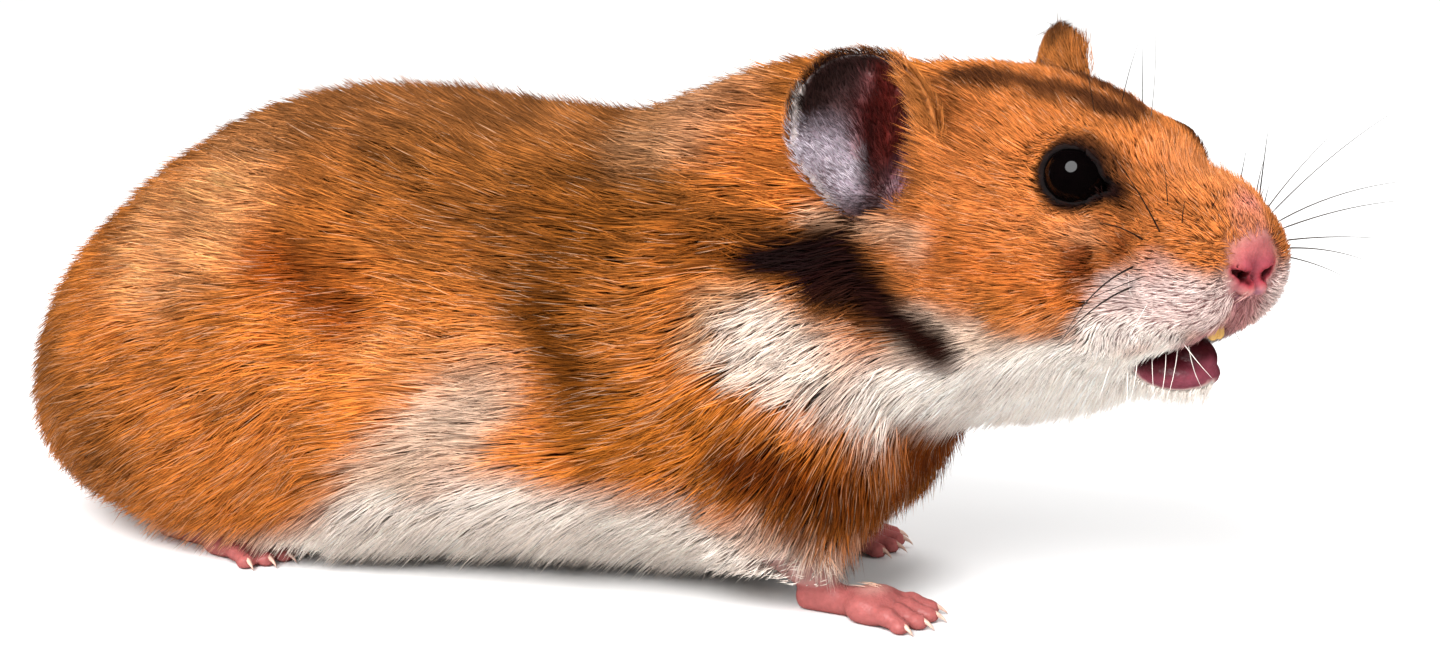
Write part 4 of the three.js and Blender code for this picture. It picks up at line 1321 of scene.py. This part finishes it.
def coat_flow(points):
    """The way the hair points, in the world, before it is laid along the skin."""
    x, y, z = points.T
    side = np.sign(y) * 0.001
    flow = np.stack([-np.ones_like(x), side, -0.10 * np.ones_like(x)], 1)

    def comb(share, way):
        nonlocal flow
        flow += share[:, None] * (np.asarray(way, float) - flow)

    comb(ramp(x, -4, 10) * (1 - ramp(z, 36, 46)), (-0.80, 0, -0.58))  # ribs
    comb(ramp(x, 10, 26) * (1 - ramp(z, 18, 32)), (-0.35, 0, -0.95))  # breast
    comb((1 - ramp(x, -44, -32)) * (1 - ramp(z, 22, 38)), (-0.80, 0, -0.50))  # haunch
    comb(ramp(x, 6, 14) * (1 - ramp(z, 9, 14)), (-0.9, 0, -0.35))  # arms
    comb((1 - ramp(z, 9, 17)) * (1 - ramp(x, 6, 16)), (-0.75, 0, -0.45))  # belly
    comb(1 - ramp(x, -84, -72), (-0.55, 0, -0.85))  # rump
    head = to_head(points).astype(float)
    away = head - PARTING
    away[:, 1] *= 0.75
    below = 1 - ramp(head[:, 2], -9, -3)
    away[:, 2] *= 1 - 0.75 * below
    away[:, 2] -= 5.0 * (1 - ramp(head[:, 2], -22, -15))
    away = unit(away)
    lips = near_path(folded(head), LIP_FRINGE, 2.2, 3)
    away += lips[:, None] * (np.stack([-0.35 + 0 * x, 0 * x, -0.9 + 0 * x], 1) - away)
    away = unit(away) @ HEAD_AXES
    share = ramp(head[:, 0], -26, -12) * ramp(x, 18, 28)
    flow += share[:, None] * (away - flow)
    ear, _, _, along_ear, _ = ear_skin(head)
    flow += ear[:, None] * (along_ear @ HEAD_AXES - flow)
    return unit(flow)


print("on the near flank hair points", coat_flow(np.array([[-20.0, -24, 30]])).round(2))


# %% Length and thickness of the coat
WIDTH_BODY = 0.20
THINNER_ON_HEAD = 0.075
THINNER_ON_MUZZLE = 0.03
WIDTH_EAR = 0.075
WIDTH_PAW = 0.12
TUFTS_BODY = 7.6  # on a square millimetre
MORE_ON_HEAD = 17.0
TUFTS_EAR = 17.0
TUFTS_PAW = 12.0
LENGTH_PAW = 1.3
EAR_TUFT_AT = [-11.5, 13.0, 1.0]
NOSE_BRIDGE = [(8, 2, 0.5), (13.5, 2, -1.5)]  # where the hair stands higher


def coat_shape(points, bare):
    """Length of hair, its width, how many tufts stand on a square millimetre, and how deep."""
    head = to_head(points)
    on_head = ramp(head[:, 0], -22, -8) * ramp(points[:, 0], 24, 32)
    muzzle = ramp(head[:, 0], 2, 10) * on_head
    depth = np.clip(-animal(points, 1.0), 0.3, 5.0)
    length = 1.2 + 1.3 * depth
    length = length + on_head * (1.0 + 0.9 * depth - length)
    width = WIDTH_BODY - THINNER_ON_HEAD * on_head - THINNER_ON_MUZZLE * muzzle
    dense = TUFTS_BODY + MORE_ON_HEAD * on_head
    depth = depth + 1.2 * near_path(folded(head), NOSE_BRIDGE, 2.6, 3.5)

    # ears: a short dense pile, with longer hair before the root
    ear, _, _, _, reach = ear_skin(head.astype(float))
    by_ear = np.linalg.norm(folded(head) - EAR_TUFT_AT, axis=1)
    length = length + 2.5 * (1 - ramp(by_ear, 3, 7)) * (1 - ear)
    length = length + ear * (reach - length)
    width = width + ear * (WIDTH_EAR - width)
    dense = dense + ear * (TUFTS_EAR - dense)
    depth = depth + ear * (0.2 + 0.25 * reach - depth)
    bare = bare * (1 - ear)

    # shorter where the arms leave the breast and over the hind feet
    breast = ramp(points[:, 0], 6, 14) * (1 - ramp(points[:, 2], 10, 15)) * (1 - on_head)
    length = length * (1 - 0.45 * breast)
    rear = 1 - ramp(np.hypot(points[:, 0] + 47, np.abs(points[:, 1]) - 20), 7, 11)
    length = length * (1 - 0.5 * rear * (1 - ramp(points[:, 2], 6, 10)))

    # paws: a thin down
    low = 1 - ramp(points[:, 2], 2.5, 6.5)
    paw = low * feet_near(points)
    length = length + paw * (LENGTH_PAW - length)
    width = width + paw * (WIDTH_PAW - width)
    dense = dense + paw * (TUFTS_PAW - dense)
    return length, width, dense * (1 - ramp(bare, 0.35, 0.9)), depth


back = np.linalg.norm(skin_points - [-20.0, 0, 50], axis=1).argmin()
hair_there = coat_shape(skin_points[back:back + 1], np.zeros(1))
print("hair on the back:", hair_there[0].round(1), "mm long and", hair_there[1], "mm wide")

# %% [markdown]
# ## Where tufts grow
# Roots are scattered evenly over the area of the skin, more closely where the hair is short.
# Each tuft remembers its place on the skin's map, and its patch of OFBake is laid there.

# %% Scatter the roots
TUFT_LIMIT = 232000
tri_points = skin_points[np.concatenate([skin_faces[:, [0, 1, 2]], skin_faces[:, [0, 2, 3]]])]
tri_map = np.concatenate([skin_map[:, [0, 1, 2]], skin_map[:, [0, 2, 3]]])
tri_way = np.cross(tri_points[:, 1] - tri_points[:, 0], tri_points[:, 2] - tri_points[:, 0])
tri_area = np.linalg.norm(tri_way, axis=1) / 2
tri_middle = tri_points.mean(1)
tri_bare = markings(tri_middle)[1]
tri_count = tri_area * coat_shape(tri_middle, tri_bare)[2]
wanted = tri_count.sum()
print("skin area", int(tri_area.sum()), "square mm; tufts wanted", int(wanted))
picked = chance.choice(len(tri_count), int(min(wanted, TUFT_LIMIT)), p=tri_count / wanted)
u, v = np.sqrt(chance.random(len(picked))), chance.random(len(picked))
weights = np.stack([1 - u, u * (1 - v), u * v], 1)
roots = (tri_points[picked] * weights[:, :, None]).sum(1)
root_map = (tri_map[picked] * weights[:, :, None]).sum(1)
outward = unit(tri_way[picked])
_, root_bare, root_skin = markings(roots)
root_length, root_width, _, root_depth = coat_shape(roots, root_bare)
print("tufts:", len(roots))

# %% [markdown]
# ## Shape of each tuft
# A tuft is a thin spindle: a point at the root, a triangle of hair near the middle and a
# point at the tip, six faces in all. It rises quickly, then lies along the body at the
# depth of the coat. Neighbours are drawn towards a common tip, as damp or combed fur is,
# which gives the small locks with shadow between them.

# %% Lay the tufts
def lay_along(way, out):
    return unit(way - out * (way * out).sum(1, keepdims=True))


def at_height(points, out, height, limit):
    """Move points along `out` until they are `height` off the skin."""
    gap = np.clip(height - animal(points), -limit, limit)
    return points + out * gap[:, None]


WANDER = 0.24  # how far locks stray from the lie of the coat
UNRULY = 0.17  # and each tuft from its lock
STRAY_SHARE = 0.14
BEND_AT = 0.42

way = coat_flow(roots)
jitter = np.stack([cloud(roots, 4.0, s) for s in (0, 7.7, 3.3)], 1) * WANDER
jitter += np.stack([cloud(roots, 1.3, s) for s in (1.9, 5.7, 8.3)], 1) * WANDER
jitter += chance.normal(0, UNRULY, roots.shape)
way = lay_along(way + jitter, outward)
vary = np.clip(chance.normal(1, 0.16, len(roots)), 0.55, 1.5)
length = root_length * vary * (1 + 0.18 * cloud(roots, 3.1, 6.6))
share = chance.beta(3.0, 1.3, len(roots))
tip_height = root_depth * (0.45 + 0.62 * share)
stray = chance.random(len(roots)) < STRAY_SHARE
tip_height = np.where(stray, root_depth * chance.uniform(0.95, 1.35, len(roots)), tip_height)
middle = roots + way * (length * BEND_AT)[:, None]
middle = at_height(middle, outward, tip_height * (0.62 - 0.12 * stray), 2.5)
tips = middle + way * (length * (1 - BEND_AT))[:, None]
tips = at_height(tips, outward, tip_height, 4.0)
print("tip height, middle of the range:", np.median(tip_height).round(2), "mm")

# %% Draw neighbours into locks
TUFTS_TO_A_LOCK = 14
leaders = chance.choice(len(roots), len(roots) // TUFTS_TO_A_LOCK, replace=False)
finder = kdtree.KDTree(len(leaders))
for number, place in enumerate(roots[leaders]):
    finder.insert(place, number)
finder.balance()
leader = leaders[[finder.find(place)[1] for place in roots]]
pull = np.clip(0.30 + 0.25 * cloud(roots, 6, 2.2), 0.05, 0.6)[:, None]
tips = tips + (tips[leader] - tips) * pull
middle = middle + (middle[leader] + (roots - roots[leader]) * 0.6 - middle) * pull * 0.4
root_head = to_head(roots).astype(float)
chin = (1 - ramp(root_head[:, 2], -21, -16)) * ramp(root_head[:, 0], -14, 0)
tips[:, 2] -= chin * chance.uniform(0.3, 2.2, len(roots))
hem = ramp(roots[:, 0], -42, -34) * (1 - ramp(roots[:, 0], 4, 12)) * (1 - ramp(roots[:, 2], 5, 10))
tips[:, 2] -= hem * chance.uniform(0.0, 2.6, len(roots))
tips[:, 2] = np.maximum(tips[:, 2], 0.25)
middle[:, 2] = np.maximum(middle[:, 2], 0.3)
print("locks:", len(leaders))

# %% [markdown]
# ## Colour along a hair
# Golden hamster hair is banded: slate grey at the root, the bright band, then often a dark
# tip. The tips make the ticking on the back. White hair has a grey root and a clear tip.

# %% Paint the tufts
SLATE = linear("#402615")
ROOT_GREY = linear("#c2b0a5")
ROOT_PINK = linear("#b97a80")
TIP_DARK = linear("#2a1a12")
TIP_PALE = linear("#f5ddc0")


def tuft_colours():
    """Colours of every tuft at its root, its middle and its tip."""
    light = root_colour.max(1, keepdims=True)
    white = ramp(root_colour.min(1), 0.45, 0.75)[:, None]
    x, y, z = roots.T
    head = to_head(roots).astype(float)
    on_head = ramp(head[:, 0], -20, -8) * ramp(x, 24, 32)
    tick = 0.30 + 0.38 * ramp(z, 28, 48) * (1 - on_head) + 0.06 * on_head
    tick = tick * (1 + 0.9 * cloud(roots, 1.4) + 0.5 * cloud(roots, 4, 1.7))
    dark_tip = (chance.random(len(roots)) < tick * (1 - white[:, 0]))[:, None]
    pale_tip = (chance.random(len(roots)) < 0.2 - 0.12 * ramp(z, 30, 44))[:, None]
    pale_tip = pale_tip & ~dark_tip & (light > 0.2)
    tone = np.clip(chance.normal(1, 0.10, (len(roots), 1)), 0.7, 1.3)
    band = root_colour * tone
    slate = SLATE * (0.5 + 0.5 * light)
    root = slate + (ROOT_GREY - slate) * white
    pad = near_path(folded(head), [(9, 9, -13), (13, 7, -12), (16, 3, -12)], 4.0, 4)[:, None]
    root = root + pad * (ROOT_PINK - root)
    root = root + root_bare[:, None] * (root_skin - root)
    bend = band * (0.80 + 0.18 * white)
    tip = band * 1.06
    tip = np.where(dark_tip, band * 0.28 + TIP_DARK * 0.3, tip)
    tip = np.where(pale_tip, band + (TIP_PALE - band) * 0.35, tip)
    bend = np.where(dark_tip, bend * 0.8, bend)
    return [np.clip(c, 0.003, 0.95) for c in (root, bend, tip)]


root_colour = markings(middle * 0.35 + tips * 0.65)[0]
ear_share, _, ear_hair = ear_skin(to_head(roots).astype(float))[:3]
root_colour += ear_share[:, None] * (ear_hair - root_colour)
hair_root, hair_middle, hair_tip = tuft_colours()
print("mean light at the tips:", hair_tip.mean(0).round(3))

# %% Turn spindles into meshes
SPINDLE = np.array([(0, 2, 1), (0, 3, 2), (0, 1, 3), (1, 2, 4), (2, 3, 4), (3, 1, 4)])
SPINDLE_MAP = np.array([(0.5, 0), (0, 0.55), (0.5, 0.55), (1, 0.55), (0.5, 1)])
PATCH = 0.003


def tuft_mesh(name, chosen):
    """One mesh of the chosen tufts, each with its patch at its root's place on the map."""
    start, bend, end = roots[chosen], middle[chosen], tips[chosen]
    start = start - outward[chosen] * 0.12
    along = unit(end - start)
    side = unit(np.cross(along, outward[chosen]))
    up = np.cross(side, along)
    wide = root_width[chosen][:, None] * np.clip(chance.normal(1, 0.15, (len(start), 1)), 0.6, 1.5)
    ring = [bend + up * wide * 0.32,
            bend - side * wide * 0.5 - up * wide * 0.22,
            bend + side * wide * 0.5 - up * wide * 0.22]
    points = np.stack([start, *ring, end], 1).reshape(-1, 3)
    faces = (SPINDLE[None] + np.arange(len(start))[:, None, None] * 5).reshape(-1, 3)
    colour = np.stack([hair_root[chosen]] + [hair_middle[chosen]] * 3 + [hair_tip[chosen]], 1)
    patch = (SPINDLE_MAP[SPINDLE.ravel()] - 0.5) * PATCH
    uv = root_map[chosen][:, None] + patch[None]
    piece = make_mesh(name, points, faces, HAIR, {"markings": colour.reshape(-1, 3)}, np.clip(uv, 0, 1))
    return piece


order = np.argsort(roots[:, 0] + 0.3 * roots[:, 2])
names = ["coat_rump", "coat_hips", "coat_loin", "coat_flank", "coat_ribs", "coat_shoulders",
         "coat_neck", "coat_head"]
coat = []
for name, chosen in zip(names, np.array_split(order, len(names))):
    coat.append(tuft_mesh(name, chosen))
print("coat:", [len(piece.data.polygons) for piece in coat])

# %% [markdown]
# ## Whiskers
# Long stiff hairs stand in rows on the pads beside the nose, with a few over the eye. They
# are far thicker than fur, so each is its own tapered tube, curved back by its own weight.

# %% Whiskers
def whisker_finish():
    material, tree, shader = new_finish("whisker", 0.35, 0.5)
    paint = add_node(tree, "ShaderNodeAttribute", attribute_name="markings").outputs["Color"]
    tree.links.new(speckle(tree, paint, 700, 0.9, 1.1), shader.inputs["Base Color"])
    return material


# root, bend and tip in the head's frame, tone (0 dark, 1 white, 2 grey), thickness
WHISKERS = [
    ((12.3, -7.7, -4.6), (11.0, -9.9, 0.2), (9.1, -12.9, 4.4), 0, 1.0),
    ((11.1, -5.6, -2.6), (11.2, -6.1, 0.5), (11.1, -6.8, 3.2), 0, 0.8),
    ((13.8, -6.6, -3.9), (13.9, -6.8, -2.1), (14.3, -6.9, -0.2), 0, 0.8),
    ((14.7, -5.8, -3.6), (14.9, -5.7, -2.7), (15.5, -5.5, -1.8), 0, 0.7),
    ((15.0, -4.0, -2.5), (15.5, -3.9, -1.2), (16.1, -3.8, 0.2), 0, 0.7),
    ((10.6, -8.1, -5.3), (9.5, -10.5, -3.5), (8.2, -13.2, -3.0), 0, 1.0),
    ((10.6, -9.0, -7.5), (7.8, -13.7, -9.3), (7.8, -17.6, -15.4), 0, 1.0),
    ((10.3, -9.0, -9.8), (7.9, -13.1, -11.2), (6.8, -17.7, -16.3), 0, 1.0),
    ((12.1, -9.2, -8.3), (8.3, -15.4, -10.8), (5.9, -20.2, -13.8), 0, 0.5),
    ((10.9, -2.4, -17.0), (11.9, -3.7, -19.5), (12.4, -5.7, -22.5), 1, 0.8),
    ((9.9, -3.1, -17.6), (11.1, -4.3, -20.2), (11.6, -5.7, -22.5), 1, 0.8),
    ((8.7, -3.9, -17.9), (9.7, -4.9, -20.2), (10.8, -5.7, -22.2), 1, 0.8),
    ((11.5, -1.5, -16.7), (12.8, -2.2, -19.5), (14.2, -2.1, -21.0), 1, 0.8),
    ((12.6, -4.3, -15.6), (14.8, -4.1, -17.8), (16.9, -3.7, -19.3), 1, 0.8),
    ((11.0, 0.3, -16.4), (12.4, 0.4, -17.8), (13.6, 0.4, -19.1), 1, 0.8),
    ((7.6, -4.9, -18.2), (8.7, -6.2, -20.9), (9.2, -7.9, -23.3), 1, 0.8),
    ((6.1, -4.6, -19.5), (7.2, -5.7, -21.9), (8.1, -6.9, -24.1), 1, 0.8),
    ((5.4, -6.4, -19.1), (5.8, -8.0, -21.4), (6.2, -9.2, -23.1), 1, 0.8),
    ((12.0, -8.8, -11.1), (11.8, -11.4, -13.9), (12.4, -12.6, -15.9), 1, 0.6),
    ((8.9, -8.6, -7.6), (9.7, -10.0, -10.3), (10.8, -9.8, -11.1), 1, 0.6),
    ((-0.9, -3.9, 5.7), (-1.6, -4.3, 10.5), (-2.7, -5.2, 13.7), 0, 0.5),
    ((-0.3, -0.5, 6.3), (0.0, -0.0, 10.6), (0.8, 0.7, 13.9), 0, 0.5),
    ((2.6, 1.0, 5.0), (2.4, 2.0, 10.7), (1.6, 2.1, 15.5), 2, 0.5),
    ((13.6, 5.5, -2.6), (12.6, 7.1, -0.1), (12.0, 8.7, 1.8), 2, 0.8),
    ((15.6, 4.3, -3.1), (14.0, 11.1, 0.6), (12.3, 21.3, 4.3), 2, 0.8),
    ((15.5, 5.1, -3.6), (12.0, 20.2, 1.7), (10.4, 34.9, 4.8), 2, 0.8),
    ((15.8, 5.7, -4.3), (14.5, 17.9, -1.8), (14.5, 32.2, -2.5), 2, 0.8),
    ((16.1, 6.0, -4.9), (15.5, 18.6, -3.5), (15.4, 30.4, -4.4), 2, 0.8),
    ((16.6, 6.3, -5.9), (16.8, 14.7, -6.1), (17.1, 24.1, -7.7), 2, 0.8),
    ((16.7, 6.8, -6.7), (16.8, 14.8, -7.4), (17.2, 21.8, -10.0), 2, 0.8),
    ((17.4, 5.9, -7.3), (17.5, 12.0, -8.7), (17.6, 17.8, -11.4), 2, 0.7),
    ((17.5, 6.0, -9.9), (17.8, 9.8, -11.4), (18.1, 13.6, -14.0), 1, 0.7),
    ((17.4, 5.1, -11.1), (17.5, 8.0, -13.2), (17.4, 10.5, -15.5), 1, 0.7),
]
WHISKER_TONES = [linear("#1c100b"), linear("#f1e8e0"), linear("#4e4641")]
WHISKER_RADII = np.linspace(0.12, 0.02, 12)
WHITE_IS_THINNER = 0.6

whisker_parts = []
whisker_paint = []
for root, bend, tip, tone, thick in WHISKERS:
    for side in (1, -1):
        flip = np.array([1, side, 1])
        if side < 0 and (root[1] > 0 or abs(root[1]) < 2.5):
            continue
        path = from_head(curve(root * flip, bend * flip, tip * flip, len(WHISKER_RADII)))
        radii = WHISKER_RADII * thick * (WHITE_IS_THINNER if tone == 1 else 1)
        points, faces = tube(path, radii, 4)
        whisker_parts.append((points, faces))
        whisker_paint.append(np.tile(WHISKER_TONES[tone], (len(points), 1)))
points, faces = joined(whisker_parts)
whiskers = make_mesh("whiskers", points, faces, whisker_finish(),
                     {"markings": np.concatenate(whisker_paint)})
print("whiskers:", len(whisker_parts), "faces", len(faces))

# %% [markdown]
# ## Floor, light and camera
# A pale floor and large soft lamps keep the colours honest. The camera stands where the
# animal is seen from its right and a little in front, slightly above its back.

# %% Floor
def floor_finish():
    material, tree, shader = new_finish("pale_floor", 0.6, 0.3)
    two_tone(tree, shader, noise_at(tree, 6.0), [0.80] * 3, [0.86] * 3)
    return material


floor_mesh = bpy.data.meshes.new("floor")
floor_mesh.from_pydata([(-3, -3, 0), (3, -3, 0), (3, 3, 0), (-3, 3, 0)], [], [(0, 1, 2, 3)])
floor_mesh.materials.append(floor_finish())
floor = bpy.data.objects.new("floor", floor_mesh)
bpy.context.scene.collection.objects.link(floor)
floor.visible_glossy = False
floor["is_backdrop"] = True
print("floor:", [round(side, 1) for side in floor.dimensions[:2]], "m")

# %% Lights
LAMP_AIM = Vector((0.0131, 0.0, 0.03))
SKY_STRENGTH = 0.62
# azimuth and elevation in degrees, distance and size in metres, power in watts
LAMPS = {
    "key": (-6, 39, 0.75, 0.5, 10),
    "fill_left": (-60, 40, 0.9, 0.5, 3),
    "fill_right": (80, 28, 0.9, 0.5, 3),
    "back": (190, 50, 0.9, 0.6, 5),
}


def direction(azimuth, elevation):
    """A direction from the animal, with azimuth 0 at its right side."""
    a, e = math.radians(azimuth), math.radians(elevation)
    return Vector((math.sin(a) * math.cos(e), -math.cos(a) * math.cos(e), math.sin(e)))


def lamp(name, azimuth, elevation, distance, size, power):
    data = bpy.data.lights.new(name, "AREA")
    data.shape = "DISK"
    data.size = size
    data.energy = power
    piece = bpy.data.objects.new(name, data)
    way = direction(azimuth, elevation)
    piece.location = LAMP_AIM + way * distance
    piece.rotation_euler = way.to_track_quat("Z", "Y").to_euler()
    bpy.context.scene.collection.objects.link(piece)
    return piece


# Only the key lamp shows in the eye, as one clear spark.
for name, settings in LAMPS.items():
    lamp(name, *settings).visible_glossy = name == "key"

world = bpy.data.worlds.new("studio")
bpy.context.scene.world = world
world.cycles_visibility.glossy = False
world.use_nodes = True
sky = world.node_tree.nodes["Background"]
sky.inputs["Color"].default_value = (1, 1, 1, 1)
sky.inputs["Strength"].default_value = SKY_STRENGTH
print("lamps:", list(LAMPS))

# %% Camera
CAMERA_AZIMUTH = 22.0
CAMERA_ELEVATION = 12.0
CAMERA_DISTANCE = 350.0
CAMERA_TARGET = np.array([0.0, 0.0, 28.0])
CAMERA_LENS = 74.375

camera_data = bpy.data.cameras.new("camera")
camera_data.lens = CAMERA_LENS
camera_data.sensor_width = 36.0
camera_data.clip_start = 0.01
camera = bpy.data.objects.new("camera", camera_data)
bpy.context.scene.collection.objects.link(camera)
toward = direction(CAMERA_AZIMUTH, CAMERA_ELEVATION)
camera.location = Vector(in_metres(CAMERA_TARGET)) + toward * CAMERA_DISTANCE * 0.001
camera.rotation_euler = toward.to_track_quat("Z", "Y").to_euler()
bpy.context.scene.camera = camera
bpy.context.scene.view_settings.view_transform = "Standard"
print("camera at", [round(v, 3) for v in camera.location])

# %% [markdown]
# ## The size of what is shown
# Hair may stand a little proud of the solids, and no more. Both boxes are kept, and their
# sizes are printed side by side so they can be compared.

# %% Sizes
bpy.context.view_layer.update()
visual_box = [list(corner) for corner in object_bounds()]
for axis, name in enumerate("xyz"):
    cad = solid_box[1][axis] - solid_box[0][axis]
    shown = visual_box[1][axis] - visual_box[0][axis]
    print(name, "solids", round(cad * 1000, 1), "mm, shown", round(shown * 1000, 1), "mm")
